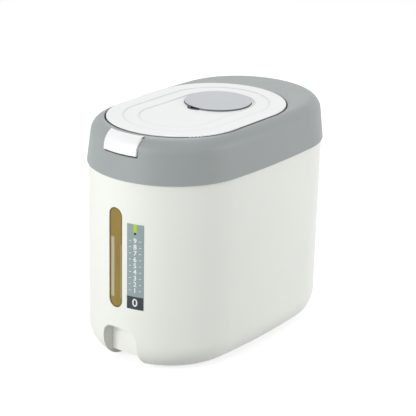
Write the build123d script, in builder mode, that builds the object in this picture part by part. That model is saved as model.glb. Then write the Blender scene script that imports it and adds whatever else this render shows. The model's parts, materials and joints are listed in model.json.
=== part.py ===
from build123d import *
import os
from math import asin, cos, degrees, pi, radians, sin, sqrt, tan

# Rice bin: an oval tub under a grey collar, with a flush flip lid, a round lift-off cap,
# a front push latch and two rear rollers.
# X is the width, Y the length (the front with the button is -Y), Z is up, z = 0 is the floor.

# Overall size
WIDTH = 185.0
LENGTH = 305.0
HEIGHT = 260.0

# Plan outline: four tangent arcs
END_EASE = 2.4  # the end arcs are this much tighter than half the width

# Clearances
PIN_FIT = 0.06  # radial play of a pin in its bore
SEAT_FIT = 0.1  # between pieces fixed to each other
PLAY = 0.4  # between pieces that move past each other

# Tub
STAND_HEIGHT = 1.2  # feet and rollers hold the tub this far off the floor
TUB_SETBACK = 1.8  # the tub stands this far back under the collar
TUB_WALL = 2.2
TUB_FLOOR = 3.6
TUB_TAPER = 0.3
TUB_BOTTOM_RADIUS = 30.3
TUB_LEDGE = 5.0
TUB_RIM_HEIGHT = 12.0

# Grip recess at the front of the tub
GRIP_WIDTH = 45.2
GRIP_TOP = 46.5
GRIP_CORNER = 14.0
GRIP_DEPTH = 19.0
GRIP_LIP = 10.6  # height of the back wall's lower edge
GRIP_RAMP = 26.0  # from that edge back to where the ramp under it meets the floor

# Level window and scale label on the front of the tub
WINDOW_WIDTH = 17.8
WINDOW_X = -3.5
WINDOW_TOP_MARGIN = 31.5  # from the tub's top edge
WINDOW_BOTTOM_MARGIN = 22.9  # from the top of the grip
WINDOW_RECESS = 0.7
WINDOW_FLANGE = 4.0
WINDOW_FLANGE_THICKNESS = 1.2
LABEL_WIDTH = 18.4
LABEL_X = 21.1
LABEL_TOP_MARGIN = 45.0
LABEL_BOTTOM_MARGIN = 26.1
LABEL_THICKNESS = 0.3
LABEL_GLUE = 0.12

# Front feet and rear rollers
FOOT_RADIUS = 9.0
FOOT_HEIGHT = 3.0
FOOT_SIDE_INSET = 56.5
FOOT_END_INSET = 74.5
ROLLER_RADIUS = 9.0
ROLLER_WIDTH = 13.0
ROLLER_EDGE = 1.2
ROLLER_SIDE_INSET = 58.5
ROLLER_END_INSET = 72.5
AXLE_RADIUS = 2.0
AXLE_BEARING = 2.4  # how far each axle end goes into the wall of its well
WELL_WALL = 4.0
WELL_GAP = 1.6

# Collar
COLLAR_HEIGHT = 45.7  # from the tub's top edge to the deck
COLLAR_WALL = 2.6
COLLAR_TAPER = 6.7
COLLAR_SHOULDER = 15.1
DECK_DROP = 2.1  # the deck lies this far under the top of the cap
DECK_EDGE = 0.8
DECK_EDGE_SLOPE = 45.0

# Lid
LID_DROP = 1.0  # the lid's top lies this far under the top of the cap
LID_SIDE_MARGIN = 17.4  # from the widest outline of the bin
LID_FRONT_MARGIN = 22.6
LID_REAR_MARGIN = 62.8
LID_GAP = 1.4
LID_PLATE = 2.8
LID_WALL = 2.0
LID_SKIRT = 7.0
LID_EDGE = 1.6
LID_CONTOUR_INSET = 18.4  # from the lid's edge to the outer contour
LID_CONTOUR_STEP = 0.6
LID_CONTOUR_SLOPE = 45.0
LID_SKIRT_CUT = 92.0  # width of the rear stretch that has no skirt, for the swing

# Throat inside the collar, and the parts of the lid that close it
RECESS_WALL = 2.0
LEDGE_THICKNESS = 2.0
LEDGE_DEPTH = 11.0  # from the deck to the ledge
THROAT_MARGIN = 12.4  # from the lid's edge to the inside of the throat
THROAT_WALL = 2.4
THROAT_DEPTH = 8.0
THROAT_BEAD = 1.5
GASKET_LAP = 0.8  # the gasket reaches this far past the throat's wall
GASKET_WIDTH = 4.0
GASKET_GAP = 0.3
INNER_PLATE = 2.0
INNER_OVERHANG = 2.0
INNER_LIP = 1.5
INNER_LIP_HEIGHT = 1.8
INNER_RIB = 1.8
INNER_RIB_GAP = 0.7
INNER_RIB_DEPTH = 7.0

# Cap and desiccant cup
CAP_MARGIN = 38.0  # from the lid's edge to the cap's hole
CAP_SETBACK = 1.7  # the cap lies this far behind the centre of the lid's rear arc
CAP_GAP = 0.5
CAP_BORDER = 3.1  # from the cap's hole to the lid's inner contour
CAP_DISH_RADIUS = 900.0
CAP_RIM = 2.6
CAP_EDGE = 0.9
CAP_SPIGOT_HEIGHT = 4.0
CAP_SPIGOT_WALL = 1.6
CAP_NOTCH_RADIUS = 11.0  # of the finger notch in the lid beside the cap
CAP_NOTCH_REACH = 5.4  # the notch reaches this far past the cap's hole
CAP_NOTCH_ANGLE = 262.0
CAP_SEAT_WIDTH = 4.5
CAP_SEAT_THICKNESS = 2.0
CAP_SEAT_WALL = 1.8
CUP_WALL = 1.4
CUP_FLANGE = 1.0
CUP_HEIGHT = 16.0
CUP_HOLE_RADIUS = 1.8
CUP_HOLE_MARGIN = 5.0  # from the cup's wall to the nearest holes
CUP_RINGS = 2
CUP_HOLE_PITCH = 12.3  # along a ring

# Hinge
HINGE_SETBACK = 16.0  # the pin lies this far behind the lid's rear edge
HINGE_DROP = 7.5  # and this far under the deck
HINGE_PIN_RADIUS = 2.0
HINGE_HUB_RADIUS = 4.2
ARM_RADIUS = 20.0
ARM_THICKNESS = 4.0
ARM_WIDTH = 5.0
ARM_X = 10.0
ARM_END_ANGLE = 275.0
PAD_WIDTH = 32.0
PAD_LAP = 4.5  # the pad runs this far in front of its screws
PAD_REACH = 1.0  # the pad runs this far past the middle of the arms
CRADLE_WALL = 1.8
CRADLE_ROOM = 0.6
CRADLE_CHEEK_GAP = 3.0
CRADLE_TAB_WIDTH = 10.0
CRADLE_TAB_LENGTH = 12.0
CRADLE_BOSS_HEIGHT = 6.0
BOSS_RADIUS = 3.4

# Latch button
BUTTON_WIDTH = 42.8
BUTTON_PROUD = 2.2  # the button follows the collar's shoulder and stands out of it by this much
BUTTON_DROP = 17.9  # from the deck to the button's lower edge
BUTTON_TOP_ANGLE = 72.0  # where the button's upper edge lies on the arc of the shoulder
BUTTON_SKIN = 2.4
BUTTON_EDGE = 0.6
BUTTON_LOWER_GAP = 2.1
BUTTON_SIDE_GAP = 0.5
BUTTON_TOP_GAP = 0.5
BUTTON_WELL_WALL = 2.0
BUTTON_WELL_ROOM = 4.0
LATCH_PIN_RADIUS = 1.5
LATCH_PIN_INSET = 13.1
LATCH_PIN_DROP = 6.9
LATCH_CHEEK = 2.0
LATCH_CHEEK_DEPTH = 9.0
LATCH_CHEEK_TRIM = 11.0  # degrees that the cheeks stop short of the skin's upper edge
PUSHER_WIDTH = 12.0
PUSHER_THICKNESS = 2.2
PUSHER_LIFT = 1.9  # over the ledge
PUSHER_GAP = 1.2  # from the recess to the pusher's tip
PUSHER_SLOT_HEIGHT = 6.2
CATCH_WIDTH = 14.0
CATCH_GAP = 0.4  # from the catch to the wall of the recess
CATCH_DEPTH = 3.4
CATCH_THICKNESS = 1.8
CATCH_SETBACK = 0.9
SPRING_HEIGHT = 3.0
SPRING_STRIP = 0.5
SPRING_DROP = 2.0  # under the pusher
SPRING_LEG = 16.0

# Screws
LID_SCREW_INSET = 21.7  # from the lid's edge
FRONT_SCREW_X = 26.0
FRONT_SCREW_INSET = 28.0
TAB_SCREW_OFFSET = 2.0  # the cradle's screws lie this far in front of the hinge pin
SCREW_RADIUS = 1.2
SCREW_HEAD_RADIUS = 2.6
SCREW_HEAD_HEIGHT = 1.5
SCREW_CLEARANCE = 0.2
SCREW_TIP_GAP = 0.4

# Heights and places that follow from the sizes above
half_width = WIDTH / 2
half_length = LENGTH / 2
end_radius = half_width - END_EASE
end_centre = half_length - end_radius
deck_z = HEIGHT - DECK_DROP
deck_under = deck_z - COLLAR_WALL
tub_top = deck_z - COLLAR_HEIGHT
window_top = tub_top - WINDOW_TOP_MARGIN
window_bottom = GRIP_TOP + WINDOW_BOTTOM_MARGIN
label_top = tub_top - LABEL_TOP_MARGIN
label_bottom = GRIP_TOP + LABEL_BOTTOM_MARGIN
foot_x = half_width - FOOT_SIDE_INSET
foot_y = FOOT_END_INSET - half_length
roller_x = half_width - ROLLER_SIDE_INSET
roller_y = half_length - ROLLER_END_INSET
lid_half_width = half_width - LID_SIDE_MARGIN
lid_front = LID_FRONT_MARGIN - half_length
lid_rear = half_length - LID_REAR_MARGIN
lid_top = HEIGHT - LID_DROP
lid_under = lid_top - LID_PLATE
lid_arc_y = lid_rear - lid_half_width
cap_y = lid_arc_y + CAP_SETBACK
lid_centre_y = (lid_front + lid_rear) / 2
lid_straight = lid_rear - lid_front - 2 * lid_half_width
opening_half_width = lid_half_width + LID_GAP
throat_half_width = lid_half_width - THROAT_MARGIN
gasket_half_width = throat_half_width - GASKET_LAP
ledge_z = deck_z - LEDGE_DEPTH
throat_top = ledge_z + THROAT_BEAD
seat_z = lid_under - CAP_SEAT_THICKNESS + CUP_FLANGE
seat_under = seat_z - CAP_SEAT_THICKNESS
cap_hole = lid_half_width - CAP_MARGIN
cap_radius = cap_hole - CAP_GAP
outer_contour = lid_half_width - LID_CONTOUR_INSET
inner_contour = cap_hole + CAP_BORDER
cup_hole = cap_hole - CAP_SEAT_WIDTH
inner_top = seat_under - SEAT_FIT
inner_under = inner_top - INNER_PLATE
inner_half_width = gasket_half_width + GASKET_WIDTH + INNER_OVERHANG
pad_top = lid_under - SEAT_FIT
pad_under = inner_top + SEAT_FIT
hinge_y = lid_rear + HINGE_SETBACK
hinge_z = deck_z - HINGE_DROP
arm_reach = ARM_RADIUS + ARM_THICKNESS / 2
arm_start = 180 - degrees(asin((pad_top - SEAT_FIT - hinge_z) / arm_reach))
pad_rear = hinge_y - ARM_RADIUS + PAD_REACH
cap_seat_rear = cap_y + cap_hole + CAP_SEAT_WALL
pad_screw_y = (cap_seat_rear + lid_arc_y + inner_half_width) / 2
cradle_inside = ARM_X + ARM_WIDTH / 2 + CRADLE_CHEEK_GAP
cradle_outside = cradle_inside + CRADLE_WALL
cradle_front = hinge_y - arm_reach - CRADLE_ROOM
cradle_rear = hinge_y + HINGE_HUB_RADIUS + CRADLE_ROOM
cradle_floor = hinge_z - arm_reach - CRADLE_ROOM
cradle_top = deck_under - SEAT_FIT
tab_top = deck_under - CRADLE_BOSS_HEIGHT
tab_x = cradle_outside + CRADLE_TAB_WIDTH / 2
tub_base_inset = TUB_SETBACK + (tub_top - STAND_HEIGHT) * tan(radians(TUB_TAPER))
rim_inset = COLLAR_WALL + SEAT_FIT - TUB_LEDGE * tan(radians(COLLAR_TAPER))
grip_back = half_length - GRIP_DEPTH - TUB_SETBACK
well_half_width = ROLLER_WIDTH / 2 + WELL_GAP
well_radius = ROLLER_RADIUS + WELL_GAP
latch_y = -(end_centre + end_radius - LATCH_PIN_INSET)
latch_z = deck_z - LATCH_PIN_DROP
collar_slope = tan(radians(COLLAR_TAPER))
shoulder_inset = COLLAR_SHOULDER * tan(radians((90 - COLLAR_TAPER) / 2))
shoulder_r = end_radius - COLLAR_HEIGHT * collar_slope - shoulder_inset
shoulder_z = deck_z - COLLAR_SHOULDER
button_low_z = deck_z - BUTTON_DROP
button_inside_radius = COLLAR_SHOULDER + BUTTON_PROUD - BUTTON_SKIN
button_top_r = shoulder_r + button_inside_radius * cos(radians(BUTTON_TOP_ANGLE))
button_well_half = BUTTON_WIDTH / 2 + BUTTON_SIDE_GAP
button_well_floor = button_low_z - BUTTON_LOWER_GAP
latch_pin_end = button_well_half + BUTTON_WELL_WALL
recess_front_y = lid_front - LID_GAP - RECESS_WALL
pusher_z = ledge_z + PUSHER_LIFT
catch_y = lid_front + LID_WALL + CATCH_SETBACK
pusher_tip_y = lid_front - LID_GAP - PUSHER_GAP
spring_top = pusher_z - SPRING_DROP
lid_screw_x = lid_half_width - LID_SCREW_INSET
lid_screw_places = (
    (-lid_screw_x, lid_arc_y),
    (lid_screw_x, lid_arc_y),
    (-lid_screw_x, lid_arc_y - lid_straight),
    (lid_screw_x, lid_arc_y - lid_straight),
    (-FRONT_SCREW_X, lid_front + FRONT_SCREW_INSET),
    (FRONT_SCREW_X, lid_front + FRONT_SCREW_INSET),
    (-ARM_X, pad_screw_y),
    (ARM_X, pad_screw_y),
)
tab_screw_y = hinge_y - TAB_SCREW_OFFSET
notch_distance = cap_hole + CAP_NOTCH_REACH - CAP_NOTCH_RADIUS
notch_x = notch_distance * cos(radians(CAP_NOTCH_ANGLE))
notch_y = cap_y + notch_distance * sin(radians(CAP_NOTCH_ANGLE))


def oval(inset):
    """Outline of the bin, drawn in by inset: two end arcs and two long side arcs."""
    across = half_width - inset
    along = half_length - inset
    end = across - END_EASE
    centre = along - end
    side = (across**2 + centre**2 - end**2) / (2 * (across - end))
    joint_x = end * (side - across) / (side - end)
    joint_y = centre + end * centre / (side - end)
    with BuildSketch() as outline:
        with BuildLine():
            ThreePointArc((joint_x, -joint_y), (across, 0), (joint_x, joint_y))
            ThreePointArc((joint_x, joint_y), (0, along), (-joint_x, joint_y))
            ThreePointArc((-joint_x, joint_y), (-across, 0), (-joint_x, -joint_y))
            ThreePointArc((-joint_x, -joint_y), (0, -along), (joint_x, -joint_y))
        make_face()
    return outline.sketch


def frustum(inset, bottom, top, taper):
    """Oval block from bottom to top that narrows upwards by the taper angle."""
    with BuildPart() as block:
        with BuildSketch(Plane.XY.offset(bottom)):
            add(oval(inset))
        with BuildSketch(Plane.XY.offset(top)):
            add(oval(inset + (top - bottom) * tan(radians(taper))))
        loft(ruled=True)
    return block.part


def tub_block(inset, bottom, top, bottom_radius):
    """Form of the tub, drawn in by inset, with its round bottom edge."""
    with BuildPart() as block:
        rise = (bottom - STAND_HEIGHT) * tan(radians(TUB_TAPER))
        add(frustum(tub_base_inset + inset - rise, bottom, top, -TUB_TAPER))
        fillet(block.faces().sort_by(Axis.Z)[0].edges(), bottom_radius)
    return block.part


def tub_skin(inset):
    """Side form of the tub, drawn in by inset, without the round bottom edge."""
    return frustum(tub_base_inset + inset, STAND_HEIGHT, tub_top, -TUB_TAPER)


def collar_block(inset, bottom, top, shoulder):
    """Form of the collar, drawn in by inset, with its round shoulder."""
    with BuildPart() as block:
        rise = (bottom - tub_top) * tan(radians(COLLAR_TAPER))
        add(frustum(inset + rise, bottom, top, COLLAR_TAPER))
        fillet(block.faces().sort_by(Axis.Z)[-1].edges(), shoulder)
    return block.part


def lid_outline(outline_half_width):
    """Outline with the lid's straight sides and round ends, at another half width."""
    with BuildSketch() as outline:
        with Locations((0, lid_centre_y)):
            SlotCenterToCenter(lid_straight, 2 * outline_half_width, rotation=90)
    return outline.sketch


def lid_prism(outline_half_width, bottom, top):
    """Upright block on the lid's outline."""
    with BuildPart() as block:
        with BuildSketch(Plane.XY.offset(bottom)):
            add(lid_outline(outline_half_width))
        extrude(amount=top - bottom)
    return block.part


def front_prism(outline, back_y):
    """Block that runs from the plane y = back_y out through the front of the bin."""
    with BuildPart() as block:
        with BuildSketch(Plane.XZ.offset(-back_y)):
            add(outline)
        extrude(amount=half_length)
    return block.part


def window_outline(margin):
    """Upright slot of the level window, grown by margin."""
    with BuildSketch() as outline:
        with Locations((WINDOW_X, (window_bottom + window_top) / 2)):
            SlotOverall(window_top - window_bottom + 2 * margin, WINDOW_WIDTH + 2 * margin, rotation=90)
    return outline.sketch


def grip_outline(margin):
    """Arch of the grip recess, grown by margin."""
    with BuildSketch() as outline:
        arch = Rectangle(GRIP_WIDTH + 2 * margin, GRIP_TOP + margin, align=(Align.CENTER, Align.MIN))
        fillet(arch.vertices().group_by(Axis.Y)[-1], GRIP_CORNER + margin)
    return outline.sketch


def grip_ramp(margin):
    """Wedge under the grip's back wall, grown by margin, that leads the fingers under the tub."""
    slope = GRIP_LIP / GRIP_RAMP
    top = GRIP_LIP + margin * sqrt(1 + slope**2)
    with BuildPart() as block:
        with BuildSketch(Plane.YZ.offset(-GRIP_WIDTH / 2 - margin)):
            with BuildLine():
                Polyline((-grip_back, 0), (-grip_back, top), (-grip_back + top / slope, 0), close=True)
            make_face()
        extrude(amount=GRIP_WIDTH + 2 * margin)
    return block.part


def solid_box(x0, x1, y0, y1, z0, z1):
    """Block between two corners."""
    with BuildPart() as block:
        with Locations(((x0 + x1) / 2, (y0 + y1) / 2, (z0 + z1) / 2)):
            Box(x1 - x0, y1 - y0, z1 - z0)
    return block.part


def upright_cylinder(radius, x, y, bottom, top):
    """Round block between two heights."""
    with BuildPart() as block:
        with Locations((x, y, (bottom + top) / 2)):
            Cylinder(radius, top - bottom)
    return block.part


def cross_rod(radius, x0, x1, y, z):
    """Round rod along X."""
    with BuildPart() as block:
        with BuildSketch(Plane.YZ.offset(x0)):
            with Locations((y, z)):
                Circle(radius)
        extrude(amount=x1 - x0)
    return block.part


def screw(x, y, head_z, tip_z):
    """Pan-head screw driven upwards, with the head's flat face at head_z."""
    with BuildPart() as fastener:
        add(upright_cylinder(SCREW_RADIUS, x, y, head_z, tip_z))
        add(upright_cylinder(SCREW_HEAD_RADIUS, x, y, head_z - SCREW_HEAD_HEIGHT, head_z))
        chamfer(fastener.faces().sort_by(Axis.Z)[0].edges(), SCREW_HEAD_HEIGHT / 2)
    return fastener.part


def save(piece, node):
    """Label a finished piece and write it."""
    piece.label = node
    export_step(piece, f"parts/{node}.step")


os.makedirs("parts", exist_ok=True)

# Tub: the space inside, with the material left standing around the grip and the roller wells
with BuildPart() as tub_core:
    add(
        tub_block(
            TUB_WALL,
            STAND_HEIGHT + TUB_FLOOR,
            tub_top - TUB_LEDGE,
            TUB_BOTTOM_RADIUS - TUB_WALL,
        )
    )
    add(
        frustum(
            rim_inset + TUB_WALL,
            tub_top - TUB_LEDGE,
            tub_top + TUB_RIM_HEIGHT,
            COLLAR_TAPER,
        )
    )
    add(front_prism(grip_outline(TUB_WALL), -(grip_back - TUB_WALL)), mode=Mode.SUBTRACT)
    add(grip_ramp(TUB_WALL), mode=Mode.SUBTRACT)
    for side in (-1, 1):
        add(
            solid_box(
                side * roller_x - well_half_width - WELL_WALL,
                side * roller_x + well_half_width + WELL_WALL,
                roller_y - well_radius - TUB_WALL,
                roller_y + well_radius + TUB_WALL,
                0,
                ROLLER_RADIUS + well_radius + TUB_WALL,
            ),
            mode=Mode.SUBTRACT,
        )

with BuildPart() as body_shell:
    add(tub_block(0, STAND_HEIGHT, tub_top, TUB_BOTTOM_RADIUS))
    add(frustum(rim_inset, tub_top - TUB_LEDGE, tub_top + TUB_RIM_HEIGHT, COLLAR_TAPER))
    add(tub_core.part, mode=Mode.SUBTRACT)
    add(front_prism(grip_outline(0), -grip_back), mode=Mode.SUBTRACT)
    add(grip_ramp(0), mode=Mode.SUBTRACT)
    add(front_prism(window_outline(SEAT_FIT), -end_centre), mode=Mode.SUBTRACT)
    for side in (-1, 1):
        add(
            solid_box(
                side * roller_x - well_half_width,
                side * roller_x + well_half_width,
                roller_y - well_radius,
                roller_y + well_radius,
                0,
                ROLLER_RADIUS + well_radius,
            ),
            mode=Mode.SUBTRACT,
        )
        axle_end = well_half_width + AXLE_BEARING
        add(
            cross_rod(
                AXLE_RADIUS + PIN_FIT,
                side * roller_x - axle_end,
                side * roller_x + axle_end,
                roller_y,
                ROLLER_RADIUS,
            ),
            mode=Mode.SUBTRACT,
        )
        add(
            solid_box(
                side * roller_x - axle_end,
                side * roller_x + axle_end,
                roller_y - AXLE_RADIUS + PIN_FIT,
                roller_y + AXLE_RADIUS - PIN_FIT,
                0,
                ROLLER_RADIUS,
            ),
            mode=Mode.SUBTRACT,
        )
        add(
            upright_cylinder(FOOT_RADIUS + SEAT_FIT, side * foot_x, foot_y, 0, FOOT_HEIGHT),
            mode=Mode.SUBTRACT,
        )
save(body_shell.part, "body_shell")

# Level window: a clear strip that fills the slot from inside, with a flange behind the wall
with BuildPart() as window_flange:
    add(front_prism(window_outline(WINDOW_FLANGE), -end_centre))
    add(tub_skin(TUB_WALL + SEAT_FIT), mode=Mode.INTERSECT)

with BuildPart() as level_window:
    add(front_prism(window_outline(0), -end_centre))
    add(tub_skin(WINDOW_RECESS), mode=Mode.INTERSECT)
    add(window_flange.part)
    add(tub_skin(TUB_WALL + SEAT_FIT + WINDOW_FLANGE_THICKNESS), mode=Mode.SUBTRACT)
save(level_window.part, "level_window")

# Scale label: a thin plate that follows the front wall
with BuildPart() as scale_label:
    with BuildSketch(Plane.XZ.offset(end_centre)):
        with Locations((LABEL_X, (label_bottom + label_top) / 2)):
            Rectangle(LABEL_WIDTH, label_top - label_bottom)
    extrude(amount=half_length)
    add(tub_skin(-LABEL_GLUE - LABEL_THICKNESS), mode=Mode.INTERSECT)
    add(tub_skin(-LABEL_GLUE), mode=Mode.SUBTRACT)
save(scale_label.part, "scale_label")

# Feet, axles and rollers under the tub
for side, name in ((-1, "left"), (1, "right")):
    with BuildPart() as foot:
        add(upright_cylinder(FOOT_RADIUS, side * foot_x, foot_y, 0, FOOT_HEIGHT))
        chamfer(foot.faces().sort_by(Axis.Z)[0].edges(), STAND_HEIGHT / 2)
    save(foot.part, f"foot_{name}")

    with BuildPart() as axle:
        add(
            cross_rod(
                AXLE_RADIUS,
                side * roller_x - axle_end + SEAT_FIT,
                side * roller_x + axle_end - SEAT_FIT,
                roller_y,
                ROLLER_RADIUS,
            )
        )
    save(axle.part, f"axle_{name}")

    with BuildPart() as roller:
        roller_start = side * roller_x - ROLLER_WIDTH / 2
        add(cross_rod(ROLLER_RADIUS, roller_start, roller_start + ROLLER_WIDTH, roller_y, ROLLER_RADIUS))
        chamfer(roller.edges().filter_by(GeomType.CIRCLE), ROLLER_EDGE)
        add(
            cross_rod(
                AXLE_RADIUS + PIN_FIT,
                roller_start,
                roller_start + ROLLER_WIDTH,
                roller_y,
                ROLLER_RADIUS,
            ),
            mode=Mode.SUBTRACT,
        )
    save(roller.part, f"roller_{name}")

# Latch button: the form that the collar's opening and the button itself share
button_plane = Plane(origin=(0, -end_centre, 0), x_dir=(0, -1, 0), z_dir=(-1, 0, 0))
button_axis = Axis((0, -end_centre, 0), (0, 0, 1))


def button_ring(outer_offset, inner_offset, top_angle):
    """Ring between two offsets from the collar's shoulder and flank, turned about its front end arc."""
    with BuildPart() as ring:
        with BuildSketch(button_plane):
            with BuildLine():
                upper_ends = []
                lower_ends = []
                for offset_out in (outer_offset, inner_offset):
                    bend = CenterArc(
                        (shoulder_r, shoulder_z),
                        COLLAR_SHOULDER + offset_out,
                        COLLAR_TAPER,
                        top_angle - COLLAR_TAPER,
                    )
                    flank = bend @ 0
                    low_r = flank.X + (flank.Y - button_low_z) * collar_slope
                    Line(flank, (low_r, button_low_z))
                    upper_ends.append(bend @ 1)
                    lower_ends.append((low_r, button_low_z))
                Line(*upper_ends)
                Line(*lower_ends)
            make_face()
        revolve(axis=button_axis)
    return ring.part


def button_slab(side_half_width):
    """Block that keeps the stretch of a ring behind the button's width."""
    return solid_box(
        -side_half_width,
        side_half_width,
        -half_length - COLLAR_SHOULDER,
        -end_centre,
        button_low_z - BUTTON_SKIN,
        deck_z + COLLAR_SHOULDER,
    )


# Collar: skin and deck, then the lid's recess, the throat, the hinge pocket and the latch well
with BuildPart() as latch_well:
    add(
        solid_box(
            -button_well_half - BUTTON_WELL_WALL,
            button_well_half + BUTTON_WELL_WALL,
            -half_length,
            recess_front_y + RECESS_WALL,
            button_well_floor - BUTTON_WELL_ROOM - BUTTON_WELL_WALL,
            deck_under,
        )
    )
    add(
        collar_block(
            COLLAR_WALL / 2,
            tub_top,
            deck_z - COLLAR_WALL / 2,
            COLLAR_SHOULDER - COLLAR_WALL / 2,
        ),
        mode=Mode.INTERSECT,
    )

with BuildPart() as latch_room:
    add(
        solid_box(
            -button_well_half,
            button_well_half,
            -half_length,
            recess_front_y,
            button_well_floor - BUTTON_WELL_ROOM,
            deck_under,
        )
    )
    add(
        collar_block(COLLAR_WALL, tub_top, deck_under, COLLAR_SHOULDER - COLLAR_WALL),
        mode=Mode.INTERSECT,
    )

with BuildPart() as button_opening:
    add(
        solid_box(
            -button_well_half,
            button_well_half,
            -half_length,
            -end_centre,
            button_well_floor,
            HEIGHT,
        )
    )
    with BuildSketch(Plane.XY.offset(button_well_floor)):
        with Locations((0, -end_centre)):
            Circle(button_top_r - BUTTON_TOP_GAP)
    extrude(amount=HEIGHT, mode=Mode.SUBTRACT)

with BuildPart() as collar:
    add(collar_block(0, tub_top, deck_z, COLLAR_SHOULDER))
    add(
        collar_block(COLLAR_WALL, tub_top, deck_under, COLLAR_SHOULDER - COLLAR_WALL),
        mode=Mode.SUBTRACT,
    )
    add(lid_prism(opening_half_width + RECESS_WALL, ledge_z - LEDGE_THICKNESS, deck_z - COLLAR_WALL / 2))
    add(latch_well.part)
    add(lid_prism(opening_half_width, ledge_z, HEIGHT), mode=Mode.SUBTRACT)
    with BuildSketch(Plane.XY.offset(deck_z - DECK_EDGE)):
        add(lid_outline(opening_half_width))
    extrude(amount=DECK_EDGE, taper=-DECK_EDGE_SLOPE, mode=Mode.SUBTRACT)
    add(lid_prism(throat_half_width + THROAT_WALL, ledge_z - THROAT_DEPTH, throat_top))
    add(lid_prism(throat_half_width, ledge_z - THROAT_DEPTH, HEIGHT), mode=Mode.SUBTRACT)
    add(latch_room.part, mode=Mode.SUBTRACT)
    add(button_opening.part, mode=Mode.SUBTRACT)
    add(
        solid_box(
            -PUSHER_WIDTH / 2 - PLAY,
            PUSHER_WIDTH / 2 + PLAY,
            recess_front_y - PLAY,
            lid_front,
            ledge_z,
            ledge_z + PUSHER_SLOT_HEIGHT,
        ),
        mode=Mode.SUBTRACT,
    )
    add(
        solid_box(
            -cradle_outside - SEAT_FIT,
            cradle_outside + SEAT_FIT,
            cradle_front - CRADLE_WALL - SEAT_FIT,
            cradle_rear + CRADLE_WALL + SEAT_FIT,
            tub_top,
            deck_under,
        ),
        mode=Mode.SUBTRACT,
    )
    add(
        cross_rod(LATCH_PIN_RADIUS + PIN_FIT, -latch_pin_end, latch_pin_end, latch_y, latch_z),
        mode=Mode.SUBTRACT,
    )
    for side in (-1, 1):
        add(upright_cylinder(BOSS_RADIUS, side * tab_x, tab_screw_y, tab_top, deck_z - COLLAR_WALL / 2))
        add(
            upright_cylinder(SCREW_RADIUS + PIN_FIT, side * tab_x, tab_screw_y, tab_top, deck_under),
            mode=Mode.SUBTRACT,
        )
save(collar.part, "collar")

# Hinge cradle: a trough under the deck that holds the pin and keeps grain out of the hinge
with BuildPart() as hinge_cradle:
    add(
        solid_box(
            -cradle_outside,
            cradle_outside,
            cradle_front - CRADLE_WALL,
            cradle_rear + CRADLE_WALL,
            cradle_floor - CRADLE_WALL,
            cradle_top,
        )
    )
    add(
        solid_box(
            -cradle_outside - CRADLE_TAB_WIDTH,
            cradle_outside + CRADLE_TAB_WIDTH,
            tab_screw_y - CRADLE_TAB_LENGTH / 2,
            tab_screw_y + CRADLE_TAB_LENGTH / 2,
            tab_top - CRADLE_WALL,
            tab_top,
        )
    )
    add(
        solid_box(-cradle_inside, cradle_inside, cradle_front, cradle_rear, cradle_floor, deck_z),
        mode=Mode.SUBTRACT,
    )
    add(lid_prism(opening_half_width, ledge_z, HEIGHT), mode=Mode.SUBTRACT)
    for side in (-1, 1):
        add(
            upright_cylinder(
                SCREW_RADIUS + SCREW_CLEARANCE,
                side * tab_x,
                tab_screw_y,
                cradle_floor,
                deck_z,
            ),
            mode=Mode.SUBTRACT,
        )
    add(
        cross_rod(HINGE_PIN_RADIUS + PIN_FIT, -cradle_outside, cradle_outside, hinge_y, hinge_z),
        mode=Mode.SUBTRACT,
    )
save(hinge_cradle.part, "hinge_cradle")

with BuildPart() as hinge_pin:
    add(cross_rod(HINGE_PIN_RADIUS, -cradle_outside, cradle_outside, hinge_y, hinge_z))
save(hinge_pin.part, "hinge_pin")

with BuildPart() as cradle_screws:
    for side in (-1, 1):
        add(screw(side * tab_x, tab_screw_y, tab_top - CRADLE_WALL, deck_under - SCREW_TIP_GAP))
save(cradle_screws.part, "cradle_screws")

# Finger notch: a pocket in the lid beside the cap's hole, outside the ledge that the cup lies on
with BuildPart() as finger_notch:
    add(upright_cylinder(CAP_NOTCH_RADIUS, notch_x, notch_y, seat_under, HEIGHT))
    add(upright_cylinder(cap_hole, 0, cap_y, seat_under, seat_z), mode=Mode.SUBTRACT)

# Lid panel: white skin with a skirt, two shallow contour steps and the seat of the cap
with BuildPart() as lid_panel:
    add(lid_prism(lid_half_width, lid_top - LID_SKIRT, lid_top))
    fillet(lid_panel.faces().sort_by(Axis.Z)[-1].edges(), LID_EDGE)
    add(lid_prism(lid_half_width - LID_WALL, lid_top - LID_SKIRT, lid_under), mode=Mode.SUBTRACT)
    for step, contour_half_width in ((1, outer_contour), (2, inner_contour)):
        with BuildSketch(Plane.XY.offset(lid_top - step * LID_CONTOUR_STEP)):
            add(lid_outline(contour_half_width))
        extrude(amount=LID_CONTOUR_STEP, taper=-LID_CONTOUR_SLOPE, mode=Mode.SUBTRACT)
    add(
        solid_box(
            -LID_SKIRT_CUT / 2,
            LID_SKIRT_CUT / 2,
            cap_y + cap_radius,
            lid_rear,
            lid_top - LID_SKIRT,
            lid_under,
        ),
        mode=Mode.SUBTRACT,
    )
    add(upright_cylinder(cap_hole + CAP_SEAT_WALL, 0, cap_y, seat_under, lid_under))
    add(upright_cylinder(CAP_NOTCH_RADIUS + CAP_SEAT_WALL, notch_x, notch_y, seat_under, lid_under))
    add(upright_cylinder(cap_hole, 0, cap_y, seat_z, HEIGHT), mode=Mode.SUBTRACT)
    add(upright_cylinder(cup_hole, 0, cap_y, seat_under, HEIGHT), mode=Mode.SUBTRACT)
    add(finger_notch.part, mode=Mode.SUBTRACT)
    for x, y in lid_screw_places[:-2]:
        add(upright_cylinder(BOSS_RADIUS, x, y, pad_under, lid_under))
        add(
            upright_cylinder(SCREW_RADIUS + PIN_FIT, x, y, pad_under, lid_under),
            mode=Mode.SUBTRACT,
        )
save(lid_panel.part, "lid_panel")

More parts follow.
